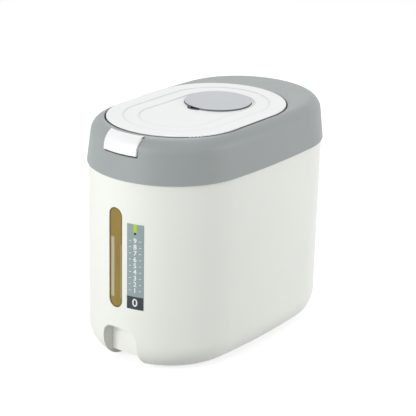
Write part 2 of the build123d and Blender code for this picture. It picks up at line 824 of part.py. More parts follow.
# Lid inner plate: carries the gasket, the rib inside the throat and the catch
with BuildPart() as lid_inner:
    add(lid_prism(inner_half_width, inner_under, inner_top))
    add(lid_prism(inner_half_width, inner_under - INNER_LIP_HEIGHT, inner_under))
    add(
        lid_prism(inner_half_width - INNER_LIP, inner_under - INNER_LIP_HEIGHT, inner_under),
        mode=Mode.SUBTRACT,
    )
    rib_half_width = gasket_half_width - INNER_RIB_GAP
    add(lid_prism(rib_half_width, inner_under - INNER_RIB_DEPTH, inner_under))
    add(
        lid_prism(rib_half_width - INNER_RIB, inner_under - INNER_RIB_DEPTH, inner_under),
        mode=Mode.SUBTRACT,
    )
    add(upright_cylinder(cup_hole + PLAY, 0, cap_y, inner_under, inner_top), mode=Mode.SUBTRACT)
    for x, y in lid_screw_places:
        add(
            upright_cylinder(SCREW_RADIUS + SCREW_CLEARANCE, x, y, inner_under, inner_top),
            mode=Mode.SUBTRACT,
        )
    add(
        solid_box(
            -CATCH_WIDTH / 2,
            CATCH_WIDTH / 2,
            catch_y,
            lid_front + lid_half_width - inner_half_width + CATCH_THICKNESS,
            inner_under,
            inner_top,
        )
    )
    add(
        solid_box(
            -CATCH_WIDTH / 2,
            CATCH_WIDTH / 2,
            lid_front - LID_GAP + CATCH_GAP,
            catch_y + CATCH_THICKNESS,
            inner_under - CATCH_DEPTH,
            inner_under,
        )
    )
save(lid_inner.part, "lid_inner")

with BuildPart() as lid_gasket:
    add(lid_prism(gasket_half_width + GASKET_WIDTH, throat_top + GASKET_GAP, inner_under))
    add(lid_prism(gasket_half_width, throat_top + GASKET_GAP, inner_under), mode=Mode.SUBTRACT)
save(lid_gasket.part, "lid_gasket")

# Hinge bracket: two gooseneck arms that reach round the deck's front edge to the pin
with BuildPart() as hinge_bracket:
    for side in (-1, 1):
        with BuildSketch(Plane.YZ.offset(side * ARM_X - ARM_WIDTH / 2)):
            with Locations((hinge_y, hinge_z)):
                Circle(HINGE_HUB_RADIUS)
            with BuildLine():
                neck = CenterArc((hinge_y, hinge_z), ARM_RADIUS, arm_start, ARM_END_ANGLE - arm_start)
                Line(neck @ 1, (hinge_y, hinge_z))
            trace(line_width=ARM_THICKNESS)
            with Locations(neck @ 1):
                Circle(ARM_THICKNESS / 2)
        extrude(amount=ARM_WIDTH)
    add(
        solid_box(
            -PAD_WIDTH / 2,
            PAD_WIDTH / 2,
            pad_screw_y - PAD_LAP,
            pad_rear,
            pad_under,
            pad_top,
        )
    )
    for x, y in lid_screw_places[-2:]:
        add(
            upright_cylinder(SCREW_RADIUS + PIN_FIT, x, y, pad_under, pad_top),
            mode=Mode.SUBTRACT,
        )
    add(
        cross_rod(HINGE_PIN_RADIUS + PIN_FIT, -cradle_inside, cradle_inside, hinge_y, hinge_z),
        mode=Mode.SUBTRACT,
    )
save(hinge_bracket.part, "hinge_bracket")

with BuildPart() as lid_screws:
    for x, y in lid_screw_places:
        add(screw(x, y, inner_under, pad_top - SCREW_TIP_GAP))
save(lid_screws.part, "lid_screws")

# Desiccant cup: a perforated basket that hangs in the lid under the cap
cup_outside = cup_hole - PLAY
cup_inside = cup_outside - CUP_WALL
cup_ring_step = (cup_inside - CUP_HOLE_MARGIN - CUP_HOLE_RADIUS) / CUP_RINGS
with BuildPart() as desiccant_cup:
    add(upright_cylinder(cap_hole - PLAY, 0, cap_y, seat_z, seat_z + CUP_FLANGE))
    add(upright_cylinder(cup_outside, 0, cap_y, seat_z - CUP_HEIGHT, seat_z))
    add(
        upright_cylinder(
            cup_inside,
            0,
            cap_y,
            seat_z - CUP_HEIGHT + CUP_WALL,
            HEIGHT,
        ),
        mode=Mode.SUBTRACT,
    )
    with Locations((0, cap_y, seat_z - CUP_HEIGHT + CUP_WALL / 2)):
        for ring in range(1, CUP_RINGS + 1):
            ring_radius = ring * cup_ring_step
            with PolarLocations(ring_radius, int(2 * pi * ring_radius / CUP_HOLE_PITCH)):
                Cylinder(CUP_HOLE_RADIUS, CUP_WALL, mode=Mode.SUBTRACT)
save(desiccant_cup.part, "desiccant_cup")

# Cap: a dished disc with a short spigot in the cup
cap_under = seat_z + CUP_FLANGE + SEAT_FIT
spigot_outside = cup_inside - PLAY
with BuildPart() as desiccant_cap:
    add(upright_cylinder(cap_radius, 0, cap_y, cap_under, HEIGHT))
    fillet(desiccant_cap.faces().sort_by(Axis.Z)[-1].edges(), CAP_EDGE)
    dish_radius = cap_radius - CAP_RIM
    dish_centre = HEIGHT + (CAP_DISH_RADIUS**2 - dish_radius**2) ** 0.5
    with Locations((0, cap_y, dish_centre)):
        Sphere(CAP_DISH_RADIUS, mode=Mode.SUBTRACT)
    add(upright_cylinder(spigot_outside, 0, cap_y, cap_under - CAP_SPIGOT_HEIGHT, cap_under))
    add(
        upright_cylinder(
            spigot_outside - CAP_SPIGOT_WALL,
            0,
            cap_y,
            cap_under - CAP_SPIGOT_HEIGHT,
            cap_under,
        ),
        mode=Mode.SUBTRACT,
    )
save(desiccant_cap.part, "desiccant_cap")

# Latch button: curved skin, two cheeks on the pin, and a pusher that reaches the lid's catch
def button_inside_y(skin_share, x, z):
    """Y of the button's skin at x and height z, part of the way through the skin."""
    section_radius = COLLAR_SHOULDER + BUTTON_PROUD - skin_share * BUTTON_SKIN
    plan_radius = shoulder_r + sqrt(section_radius**2 - (z - shoulder_z) ** 2)
    return -end_centre - sqrt(plan_radius**2 - x**2)


with BuildPart() as button_cheeks:
    add(
        button_ring(
            BUTTON_PROUD - BUTTON_SKIN / 2,
            BUTTON_PROUD - LATCH_CHEEK_DEPTH,
            BUTTON_TOP_ANGLE - LATCH_CHEEK_TRIM,
        )
    )
    add(button_slab(BUTTON_WIDTH / 2), mode=Mode.INTERSECT)
    add(button_slab(BUTTON_WIDTH / 2 - LATCH_CHEEK), mode=Mode.SUBTRACT)

with BuildPart() as latch_button:
    add(button_ring(BUTTON_PROUD, BUTTON_PROUD - BUTTON_SKIN, BUTTON_TOP_ANGLE))
    add(button_slab(BUTTON_WIDTH / 2), mode=Mode.INTERSECT)
    bend_face = latch_button.faces().filter_by(GeomType.TORUS).sort_by(SortBy.AREA)[-1]
    flank_face = latch_button.faces().filter_by(GeomType.CONE).sort_by(SortBy.AREA)[-1]
    skin_edges = bend_face.edges() + flank_face.edges()
    fillet([edge for edge in skin_edges if skin_edges.count(edge) == 1], BUTTON_EDGE)
    add(button_cheeks.part)
    add(
        solid_box(
            -PUSHER_WIDTH / 2,
            PUSHER_WIDTH / 2,
            button_inside_y(0.5, 0, pusher_z),
            pusher_tip_y,
            pusher_z,
            pusher_z + PUSHER_THICKNESS,
        )
    )
    add(
        cross_rod(LATCH_PIN_RADIUS + PIN_FIT, -latch_pin_end, latch_pin_end, latch_y, latch_z),
        mode=Mode.SUBTRACT,
    )
save(latch_button.part, "latch_button")

with BuildPart() as latch_pin:
    add(cross_rod(LATCH_PIN_RADIUS, -latch_pin_end, latch_pin_end, latch_y, latch_z))
save(latch_pin.part, "latch_pin")

# Latch spring: a lying U of spring strip between the well's rear wall and the button's skin
spring_rear_y = recess_front_y - SEAT_FIT - SPRING_STRIP / 2
spring_front_y = button_inside_y(1, SPRING_LEG / 2, spring_top) + PLAY + SPRING_STRIP / 2
spring_mid_y = (spring_rear_y + spring_front_y) / 2
spring_bend = (spring_rear_y - spring_front_y) / 2
with BuildPart() as latch_spring:
    with BuildSketch(Plane.XY.offset(spring_top - SPRING_HEIGHT)):
        with BuildLine():
            Line((-SPRING_LEG / 2, spring_rear_y), (SPRING_LEG / 2, spring_rear_y))
            ThreePointArc(
                (SPRING_LEG / 2, spring_rear_y),
                (SPRING_LEG / 2 + spring_bend, spring_mid_y),
                (SPRING_LEG / 2, spring_front_y),
            )
            Line((SPRING_LEG / 2, spring_front_y), (-SPRING_LEG / 2, spring_front_y))
        trace(line_width=SPRING_STRIP)
    extrude(amount=SPRING_HEIGHT)
save(latch_spring.part, "latch_spring")
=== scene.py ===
# %% [markdown]
# # An oval rice bin, dressed around its frame
# This lesson gives a moulded kitchen bin its finishes: satin white plastic, a cool grey collar, an
# amber level window and a printed label. The frame already holds every rigid piece at its real
# place, so the lesson never moves one. It adds materials, the print, and the few small pieces that
# a mould or a screwdriver would leave behind.

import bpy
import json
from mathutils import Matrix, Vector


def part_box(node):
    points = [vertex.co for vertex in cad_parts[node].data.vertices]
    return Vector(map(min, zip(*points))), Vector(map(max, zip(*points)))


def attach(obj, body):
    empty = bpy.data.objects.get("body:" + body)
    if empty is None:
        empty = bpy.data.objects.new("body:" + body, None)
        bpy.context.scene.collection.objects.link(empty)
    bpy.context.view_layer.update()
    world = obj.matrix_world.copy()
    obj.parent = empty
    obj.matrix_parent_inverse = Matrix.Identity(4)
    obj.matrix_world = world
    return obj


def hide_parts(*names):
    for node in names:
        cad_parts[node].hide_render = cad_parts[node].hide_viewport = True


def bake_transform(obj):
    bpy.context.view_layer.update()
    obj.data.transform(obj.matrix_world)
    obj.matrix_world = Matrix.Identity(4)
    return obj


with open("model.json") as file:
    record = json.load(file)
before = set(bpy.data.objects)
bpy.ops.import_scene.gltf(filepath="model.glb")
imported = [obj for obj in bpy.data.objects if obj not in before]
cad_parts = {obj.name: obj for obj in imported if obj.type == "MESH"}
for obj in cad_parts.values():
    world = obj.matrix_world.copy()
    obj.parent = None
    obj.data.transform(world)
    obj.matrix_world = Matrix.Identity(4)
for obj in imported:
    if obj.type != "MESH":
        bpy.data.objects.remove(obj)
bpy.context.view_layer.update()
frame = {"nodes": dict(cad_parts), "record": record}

import json
import math

import bmesh
import bpy
from mathutils import Matrix, Vector
from mathutils.bvhtree import BVHTree

MM = 0.001
scene = bpy.context.scene
nodes = frame["nodes"]
print("nodes in the frame:", len(nodes))

# %% [markdown]
# ## Camera
# The picture is taken with a long lens from the front right, a little above the lid. A camera can be
# aimed with a constraint, but three turns written out are easier to read: swing round the bin, tip
# down, then roll. The lens follows from the focal length in picture widths.

# %% Camera
CAMERA_TARGET = Vector((-9.36, 15.30, 133.38)) * MM
CAMERA_AZIMUTH = 36.99
CAMERA_ELEVATION = 19.85
CAMERA_ROLL = 1.38
CAMERA_DISTANCE = 1.842
FOCAL_IN_PICTURE_WIDTHS = 3.974
SENSOR_WIDTH = 36.0

camera_data = bpy.data.cameras.new("camera")
camera_data.sensor_width = SENSOR_WIDTH
camera_data.lens = SENSOR_WIDTH * FOCAL_IN_PICTURE_WIDTHS
camera = bpy.data.objects.new("camera", camera_data)
scene.collection.objects.link(camera)
swing = Matrix.Rotation(math.radians(CAMERA_AZIMUTH), 4, "Z")
tip = Matrix.Rotation(math.radians(90 - CAMERA_ELEVATION), 4, "X")
roll = Matrix.Rotation(math.radians(CAMERA_ROLL), 4, "Z")
turn = swing @ tip @ roll
camera.matrix_world = Matrix.Translation(CAMERA_TARGET + turn.col[2].xyz * CAMERA_DISTANCE) @ turn
scene.camera = camera
scene.view_settings.view_transform = "Standard"
print("camera at", [round(value, 3) for value in camera.matrix_world.translation])

# %% [markdown]
# ## Studio
# White plastic needs light from all round. One large soft box stands in front and one at the right, so
# that the round corner between them stays a little darker, and two more from above and behind keep the
# far sides from going grey. The floor is a pale sheet. Seen by the camera, floor and background are
# lifted to white, which costs the bin no extra light, and the floor still takes the bin's shadow.

# %% Light path helpers
def math_node(tree, operation, first, second=0.0, third=0.0, clamp=False):
    """A Math node whose inputs are sockets or plain numbers."""
    node = tree.nodes.new("ShaderNodeMath")
    node.operation = operation
    node.use_clamp = clamp
    for place, value in enumerate((first, second, third)):
        if isinstance(value, bpy.types.NodeSocket):
            tree.links.new(value, node.inputs[place])
        else:
            node.inputs[place].default_value = value
    return node.outputs[0]


def camera_like_rays(tree):
    """A value of 1 for rays that show the background: camera, glossy and transmission rays."""
    path = tree.nodes.new("ShaderNodeLightPath").outputs
    seen = math_node(tree, "MAXIMUM", path["Is Camera Ray"], path["Is Glossy Ray"])
    return math_node(tree, "MAXIMUM", seen, path["Is Transmission Ray"])


# %% World
AMBIENT_LEVEL = 0.27
SEEN_LEVEL = 1.0

world = bpy.data.worlds.new("studio")
scene.world = world
world.use_nodes = True
world_tree = world.node_tree
world_tree.nodes.clear()


def white_glow(level):
    """A white background of one strength."""
    glow = world_tree.nodes.new("ShaderNodeBackground")
    glow.inputs["Color"].default_value = (1.0, 1.0, 1.0, 1.0)
    glow.inputs["Strength"].default_value = level
    return glow.outputs[0]


world_mix = world_tree.nodes.new("ShaderNodeMixShader")
world_out = world_tree.nodes.new("ShaderNodeOutputWorld")
world_tree.links.new(camera_like_rays(world_tree), world_mix.inputs["Fac"])
world_tree.links.new(white_glow(AMBIENT_LEVEL), world_mix.inputs[1])
world_tree.links.new(white_glow(SEEN_LEVEL), world_mix.inputs[2])
world_tree.links.new(world_mix.outputs[0], world_out.inputs["Surface"])
print("light from all round:", AMBIENT_LEVEL)

# %% Floor sheet
FLOOR_SIZE = 12.0
FLOOR_DROP = 0.2 * MM


def mesh_of(name, build_mesh):
    """Turn a bmesh into a mesh of this name and free it."""
    mesh = bpy.data.meshes.new(name)
    build_mesh.to_mesh(mesh)
    build_mesh.free()
    return mesh


floor_bm = bmesh.new()
bmesh.ops.create_grid(floor_bm, x_segments=2, y_segments=2, size=FLOOR_SIZE / 2)
bmesh.ops.translate(floor_bm, verts=floor_bm.verts, vec=(0, 0, -FLOOR_DROP))
floor = bpy.data.objects.new("floor", mesh_of("floor", floor_bm))
scene.collection.objects.link(floor)
print("floor faces:", len(floor.data.polygons))

# %% Floor finish
FLOOR_COLOUR = (0.5, 0.5, 0.5, 1.0)
FLOOR_LIFT = 0.72

floor_finish = bpy.data.materials.new("floor_paper")
floor_finish.use_nodes = True
floor_tree = floor_finish.node_tree
floor_tree.nodes.clear()
paper = floor_tree.nodes.new("ShaderNodeBsdfDiffuse")
paper.inputs["Color"].default_value = FLOOR_COLOUR
lift = floor_tree.nodes.new("ShaderNodeEmission")
lift.inputs["Strength"].default_value = FLOOR_LIFT
lifted = floor_tree.nodes.new("ShaderNodeAddShader")
floor_mix = floor_tree.nodes.new("ShaderNodeMixShader")
floor_out = floor_tree.nodes.new("ShaderNodeOutputMaterial")
floor_tree.links.new(paper.outputs[0], lifted.inputs[0])
floor_tree.links.new(lift.outputs[0], lifted.inputs[1])
floor_tree.links.new(camera_like_rays(floor_tree), floor_mix.inputs["Fac"])
floor_tree.links.new(paper.outputs[0], floor_mix.inputs[1])
floor_tree.links.new(lifted.outputs[0], floor_mix.inputs[2])
floor_tree.links.new(floor_mix.outputs[0], floor_out.inputs["Surface"])
floor.data.materials.append(floor_finish)
print("floor finish with", len(floor_tree.nodes), "nodes")

# %% Soft boxes
# Each line holds a name, the direction from the bin, the distance and side in metres, and the power.
SOFT_BOXES = (
    ("front_box", (-0.25, -1.0, 0.3), 1.6, 0.9, 16.9),
    ("right_box", (1.0, 0.42, 0.25), 1.6, 0.9, 12.2),
    ("top_box", (0.35, 0.1, 1.0), 1.7, 1.2, 5.0),
    ("back_box", (-0.7, 0.9, 1.3), 1.7, 0.9, 9.0),
)
LIGHT_AIM = Vector((0.0, 0.0, 0.13))

for light_name, direction, distance, side_length, power in SOFT_BOXES:
    light_data = bpy.data.lights.new(light_name, "AREA")
    light_data.shape = "SQUARE"
    light_data.size = side_length
    light_data.energy = power
    light = bpy.data.objects.new(light_name, light_data)
    scene.collection.objects.link(light)
    away = Vector(direction).normalized()
    facing = away.to_track_quat("Z", "Y").to_matrix().to_4x4()
    light.matrix_world = Matrix.Translation(LIGHT_AIM + away * distance) @ facing

# %% [markdown]
# ## Shared finish: moulding grain
# A steel mould leaves a fine even grain on plastic, and the colour of a large moulding drifts a little
# where the melt flowed slowly. Both belong to almost every piece here, so they are one shader group
# with its own inputs. It reads Object coordinates, so the grain keeps its size on every piece.

# %% Group helpers
def new_group(name, inputs, outputs):
    """An empty shader group: inputs are (name, socket type, default), outputs (name, socket type)."""
    group = bpy.data.node_groups.new(name, "ShaderNodeTree")
    for label, kind, value in inputs:
        socket = group.interface.new_socket(label, in_out="INPUT", socket_type=kind)
        socket.default_value = value
    for label, kind in outputs:
        group.interface.new_socket(label, in_out="OUTPUT", socket_type=kind)
    entry = group.nodes.new("NodeGroupInput")
    leave = group.nodes.new("NodeGroupOutput")
    return group, entry, leave


def object_place(tree):
    """The Object coordinates, which stay with a piece when it moves."""
    return tree.nodes.new("ShaderNodeTexCoord").outputs["Object"]


def noise(tree, vector, scale, detail=2.0):
    """The value of a Noise texture, with a socket or a number as its scale."""
    texture = tree.nodes.new("ShaderNodeTexNoise")
    texture.inputs["Detail"].default_value = detail
    tree.links.new(vector, texture.inputs["Vector"])
    if isinstance(scale, bpy.types.NodeSocket):
        tree.links.new(scale, texture.inputs["Scale"])
    else:
        texture.inputs["Scale"].default_value = scale
    return texture.outputs["Fac"]


def mix_colour(tree, factor, first, second, blend="MIX"):
    """A colour Mix node whose inputs are sockets or plain values."""
    node = tree.nodes.new("ShaderNodeMix")
    node.data_type = "RGBA"
    node.blend_type = blend
    for socket, value in ((node.inputs[0], factor), (node.inputs[6], first), (node.inputs[7], second)):
        if isinstance(value, bpy.types.NodeSocket):
            tree.links.new(value, socket)
        else:
            socket.default_value = value
    return node.outputs[2]


# %% Moulding grain group
FLOW_SCALE = 11.0
FLOW_DETAIL = 3.0
SHEEN_SCALE = 34.0
SHEEN_DETAIL = 4.0
PEBBLE_DETAIL = 1.0
NOISE_MIDDLE = 0.5

grain, grain_in, grain_out = new_group(
    "moulding_grain",
    [
        ("Color", "NodeSocketColor", (0.8, 0.8, 0.8, 1.0)),
        ("Flow Spread", "NodeSocketFloat", 0.04),
        ("Roughness", "NodeSocketFloat", 0.4),
        ("Sheen Spread", "NodeSocketFloat", 0.1),
        ("Grain Scale", "NodeSocketFloat", 2600.0),
    ],
    [
        ("Color", "NodeSocketColor"),
        ("Roughness", "NodeSocketFloat"),
        ("Height", "NodeSocketFloat"),
    ],
)
grain_place = object_place(grain)
flow = noise(grain, grain_place, FLOW_SCALE, FLOW_DETAIL)
flow_offset = math_node(grain, "SUBTRACT", flow, NOISE_MIDDLE)
flow_gain = math_node(grain, "MULTIPLY_ADD", flow_offset, grain_in.outputs["Flow Spread"], 1.0)
flow_colour = grain.nodes.new("ShaderNodeCombineColor")
for channel in flow_colour.inputs:
    grain.links.new(flow_gain, channel)
tinted = mix_colour(grain, 1.0, grain_in.outputs["Color"], flow_colour.outputs[0], "MULTIPLY")
patch = noise(grain, grain_place, SHEEN_SCALE, SHEEN_DETAIL)
patch_offset = math_node(grain, "SUBTRACT", patch, NOISE_MIDDLE)
patch_swing = math_node(grain, "MULTIPLY", patch_offset, grain_in.outputs["Sheen Spread"])
patch_rough = math_node(grain, "ADD", patch_swing, grain_in.outputs["Roughness"], clamp=True)
pebble = noise(grain, grain_place, grain_in.outputs["Grain Scale"], PEBBLE_DETAIL)
grain.links.new(tinted, grain_out.inputs["Color"])
grain.links.new(patch_rough, grain_out.inputs["Roughness"])
grain.links.new(pebble, grain_out.inputs["Height"])
print("group", grain.name, "with", len(grain.nodes), "nodes")

# %% [markdown]
# ## Shared finish: rubbed scratches
# Pieces that touch the floor or each other carry hairline scratches. A noise that is stretched along
# one direction gives long thin streaks, and two of them crossed look like use. The group only puts
# out a mask, and each material decides what the mask does.

# %% Rubbed scratches group
STRETCHES = (((1.0, 0.06, 0.3), 20.0), ((0.07, 1.0, 0.3), -35.0))
STREAK_LIMIT = 0.6
STREAK_CONTRAST = 8.0

scratch, scratch_in, scratch_out = new_group(
    "rubbed_scratches",
    [
        ("Scale", "NodeSocketFloat", 300.0),
        ("Amount", "NodeSocketFloat", 0.3),
    ],
    [("Mask", "NodeSocketFloat")],
)
scratch_place = object_place(scratch)
streaks = []
for stretch, angle in STRETCHES:
    lay = scratch.nodes.new("ShaderNodeMapping")
    lay.inputs["Scale"].default_value = stretch
    lay.inputs["Rotation"].default_value = (0.0, 0.0, math.radians(angle))
    scratch.links.new(scratch_place, lay.inputs["Vector"])
    streak = noise(scratch, lay.outputs[0], scratch_in.outputs["Scale"])
    above_limit = math_node(scratch, "SUBTRACT", streak, STREAK_LIMIT)
    streaks.append(math_node(scratch, "MULTIPLY", above_limit, STREAK_CONTRAST, clamp=True))
crossed = math_node(scratch, "MAXIMUM", *streaks)
scratch_share = math_node(scratch, "MULTIPLY", crossed, scratch_in.outputs["Amount"])
scratch.links.new(scratch_share, scratch_out.inputs["Mask"])
print("group", scratch.name, "with", len(scratch.nodes), "nodes")

# %% [markdown]
# ## Shared finish: printed rectangle
# Print on film is flat ink inside a sharp outline. One group answers whether a point of the front lies
# inside an upright rectangle, given in metres, with a soft edge as wide as the ink bleeds. A rectangle
# is two bands laid across each other, and the same band later draws every thin line of the bin.

# %% Band helpers
EDGE_MIDDLE = 0.5


def split_place(tree):
    """The Object coordinates as separate X, Y and Z values."""
    parts = tree.nodes.new("ShaderNodeSeparateXYZ")
    tree.links.new(object_place(tree), parts.inputs[0])
    return parts.outputs


def soft_band(tree, offset, half_width, bleed):
    """A share of 1 within a half width of zero, which falls to 0 across the bleed at each edge."""
    inside = math_node(tree, "SUBTRACT", half_width, math_node(tree, "ABSOLUTE", offset))
    edge = math_node(tree, "DIVIDE", inside, bleed)
    return math_node(tree, "ADD", edge, EDGE_MIDDLE, clamp=True)


# %% Printed rectangle group
printed, printed_in, printed_out = new_group(
    "printed_rectangle",
    [
        ("Middle X", "NodeSocketFloat", 0.0),
        ("Middle Z", "NodeSocketFloat", 0.0),
        ("Half Width", "NodeSocketFloat", 0.01),
        ("Half Height", "NodeSocketFloat", 0.01),
        ("Bleed", "NodeSocketFloat", 0.0001),
    ],
    [("Mask", "NodeSocketFloat")],
)
printed_place = split_place(printed)
covers = []
for axis, middle, half in (("X", "Middle X", "Half Width"), ("Z", "Middle Z", "Half Height")):
    offset = math_node(printed, "SUBTRACT", printed_place[axis], printed_in.outputs[middle])
    covers.append(soft_band(printed, offset, printed_in.outputs[half], printed_in.outputs["Bleed"]))
printed.links.new(math_node(printed, "MULTIPLY", *covers), printed_out.inputs["Mask"])
print("group", printed.name, "with", len(printed.nodes), "nodes")

# %% [markdown]
# ## Shared finish: depth inside a slot
# The window's rim is painted darker as painted shade, and the lid gets painted shade in lines that run
# along its edge. Window and lid are both slots with round ends, one upright and one lying. The group
# takes the two distances from the middle of a slot and puts out how far a point lies inside its outline.

# %% Slot depth group
def flat_length(tree, first, second):
    """The length of a flat vector with these two parts."""
    second_squared = math_node(tree, "MULTIPLY", second, second)
    return math_node(tree, "SQRT", math_node(tree, "MULTIPLY_ADD", first, first, second_squared))


slot_depth, slot_in, slot_out = new_group(
    "slot_depth",
    [
        ("Across", "NodeSocketFloat", 0.0),
        ("Along", "NodeSocketFloat", 0.0),
        ("Half Width", "NodeSocketFloat", 0.01),
        ("Half Length", "NodeSocketFloat", 0.03),
    ],
    [("Depth", "NodeSocketFloat")],
)
slot_width = slot_in.outputs["Half Width"]
straight = math_node(slot_depth, "SUBTRACT", slot_in.outputs["Half Length"], slot_width)
along = math_node(slot_depth, "ABSOLUTE", slot_in.outputs["Along"])
past_straight = math_node(slot_depth, "SUBTRACT", along, straight)
round_end = math_node(slot_depth, "MAXIMUM", past_straight, 0.0)
from_spine = flat_length(slot_depth, slot_in.outputs["Across"], round_end)
depth = math_node(slot_depth, "SUBTRACT", slot_width, from_spine)
slot_depth.links.new(depth, slot_out.inputs["Depth"])
print("group", slot_depth.name, "with", len(slot_depth.nodes), "nodes")

# %% [markdown]
# ## Shared finish: painted seam shade
# Where a lid drops into its frame, the wall of the seam lies in shade, and that shade is painted on
# as a dark line. The group marks a level line at one height, on upright walls only, and lid and cap
# each take it at the height where they meet their neighbour. The normal is read in object space, so
# the line stays where it is when the lid swings up.

# %% Seam line group
WALL_LIMIT = 0.5

seam_shade_line, seam_in, seam_out = new_group(
    "seam_shade_line",
    [
        ("Height", "NodeSocketFloat", 0.0),
        ("Half Width", "NodeSocketFloat", 0.0007),
        ("Bleed", "NodeSocketFloat", 0.0003),
        ("Amount", "NodeSocketFloat", 0.85),
    ],
    [("Mask", "NodeSocketFloat")],
)
seam_facing = seam_shade_line.nodes.new("ShaderNodeSeparateXYZ")
seam_normal = seam_shade_line.nodes.new("ShaderNodeTexCoord").outputs["Normal"]
seam_shade_line.links.new(seam_normal, seam_facing.inputs[0])
levelness = math_node(seam_shade_line, "ABSOLUTE", seam_facing.outputs["Z"])
upright_wall = math_node(seam_shade_line, "LESS_THAN", levelness, WALL_LIMIT)
seam_offset = math_node(seam_shade_line, "SUBTRACT", split_place(seam_shade_line)["Z"], seam_in.outputs["Height"])
seam_cover = soft_band(seam_shade_line, seam_offset, seam_in.outputs["Half Width"], seam_in.outputs["Bleed"])
seam_on_wall = math_node(seam_shade_line, "MULTIPLY", seam_cover, upright_wall)
# Painted shade: the share of the seam wall that is mixed to near black.
seam_share = math_node(seam_shade_line, "MULTIPLY", seam_on_wall, seam_in.outputs["Amount"])
seam_shade_line.links.new(seam_share, seam_out.inputs["Mask"])
print("group", seam_shade_line.name, "with", len(seam_shade_line.nodes), "nodes")

# %% [markdown]
# ## Moulded plastics
# The bin is mostly two plastics: a satin white for tub, lid and button, and a cool grey for the collar
# with a paler one for the cap. They differ in colour, gloss and wear only, so one function makes them
# all from the grain group, with a bump that takes the grain's height.

# %% Finish helpers
GRAIN_DEPTH = 0.04 * MM


def new_finish(name):
    """A new material with its tree and its shader."""
    finish = bpy.data.materials.new(name)
    finish.use_nodes = True
    return finish, finish.node_tree, finish.node_tree.nodes["Principled BSDF"]


def place_group(tree, group, **values):
    """A group node with some of its inputs set; underscores in a name stand for spaces."""
    node = tree.nodes.new("ShaderNodeGroup")
    node.node_tree = group
    for label, value in values.items():
        node.inputs[label.replace("_", " ")].default_value = value
    return node


def grained_skin(tree, shader, bump_strength, **values):
    """Place the grain group and feed its colour, roughness and height to the shader."""
    skin = place_group(tree, grain, **values)
    bump = tree.nodes.new("ShaderNodeBump")
    bump.inputs["Strength"].default_value = bump_strength
    bump.inputs["Distance"].default_value = GRAIN_DEPTH
    tree.links.new(skin.outputs["Height"], bump.inputs["Height"])
    tree.links.new(bump.outputs["Normal"], shader.inputs["Normal"])
    tree.links.new(skin.outputs["Color"], shader.inputs["Base Color"])
    tree.links.new(skin.outputs["Roughness"], shader.inputs["Roughness"])
    return skin


# %% Plastic maker
PLASTIC_IOR = 1.46
SHEEN_SPREAD = 0.12
# SEAM_SHADE is the near-black colour of the painted seam shade.
SEAM_SHADE = (0.03, 0.032, 0.03, 1.0)


def moulded_plastic(
    name, colour, roughness, flow=0.04, grain_scale=2600.0, bump=0.25, wear=0.0, gloss=0.5, seam=None
):
    """Satin moulded plastic with grain and drifting colour, with scratches and a painted seam shade if
    wanted.
    """
    finish, tree, shader = new_finish(name)
    skin = grained_skin(
        tree,
        shader,
        bump,
        Color=(*colour, 1.0),
        Flow_Spread=flow,
        Roughness=roughness,
        Sheen_Spread=SHEEN_SPREAD,
        Grain_Scale=grain_scale,
    )
    if wear:
        rub = place_group(tree, scratch, Amount=wear)
        rubbed = math_node(tree, "ADD", skin.outputs["Roughness"], rub.outputs["Mask"], clamp=True)
        tree.links.new(rubbed, shader.inputs["Roughness"])
    # Painted shade: the seam wall is mixed towards near black at the given height.
    if seam:
        seam_shade = place_group(tree, seam_shade_line, Height=seam)
        seam_shaded = mix_colour(tree, seam_shade.outputs["Mask"], skin.outputs["Color"], SEAM_SHADE)
        tree.links.new(seam_shaded, shader.inputs["Base Color"])
    shader.inputs["IOR"].default_value = PLASTIC_IOR
    shader.inputs["Specular IOR Level"].default_value = gloss
    return finish


# %% Plastics of this bin
# Lid and cap take the painted seam shade just below the level where each meets its neighbour.
SEAM_SINK = 0.35 * MM
lid_low, lid_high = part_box("lid_panel")
lid_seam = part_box("collar")[1].z - SEAM_SINK
cap_seam = lid_high.z - SEAM_SINK
plastics = (
    ("tub_white", (0.87, 0.885, 0.835), 0.38, dict(gloss=0.25)),
    ("lid_white", (0.89, 0.91, 0.91), 0.34, dict(wear=0.05, seam=lid_seam)),
    ("collar_grey", (0.345, 0.372, 0.37), 0.42, dict(flow=0.07, wear=0.06, gloss=0.3)),
    ("cap_grey", (0.5, 0.53, 0.557), 0.36, dict(flow=0.05, wear=0.05, seam=cap_seam)),
    ("inner_white", (0.82, 0.83, 0.82), 0.48, dict(grain_scale=1800.0, bump=0.3)),
    ("roller_grey", (0.25, 0.26, 0.27), 0.45, dict(flow=0.12, wear=0.2)),
    ("rubber_grey", (0.12, 0.12, 0.125), 0.72, dict(flow=0.15, bump=0.5, wear=0.1)),
)
finishes = {}
for slot_name, colour, roughness, options in plastics:
    finishes[slot_name] = moulded_plastic(slot_name, colour, roughness, **options)
print("plastics:", sorted(finishes))

# %% [markdown]
# ## Lid contour lines in painted shade
# Two contour steps run round the lid. They are little more than half a millimetre deep, so what shows
# from across a room is the thin line of shade in their corners, and that shade is painted on. The slot
# group gives the depth inside the lid's outline, and a soft band at two depths draws the painted shade.

# %% Lid contour lines
CONTOUR_DEPTHS = (18.0 * MM, 34.5 * MM)
CONTOUR_HALF_WIDTH = 0.9 * MM
CONTOUR_BLEED = 0.8 * MM
CONTOUR_SHARE = 0.26
CONTOUR_SHADE = (0.3, 0.31, 0.31, 1.0)
lid_middle = (lid_low + lid_high) / 2
lid_half = (lid_high - lid_low) / 2


def base_colour(finish):
    """The socket that feeds a finish's colour, and the input that it feeds."""
    target = finish.node_tree.nodes["Principled BSDF"].inputs["Base Color"]
    return target.links[0].from_socket, target


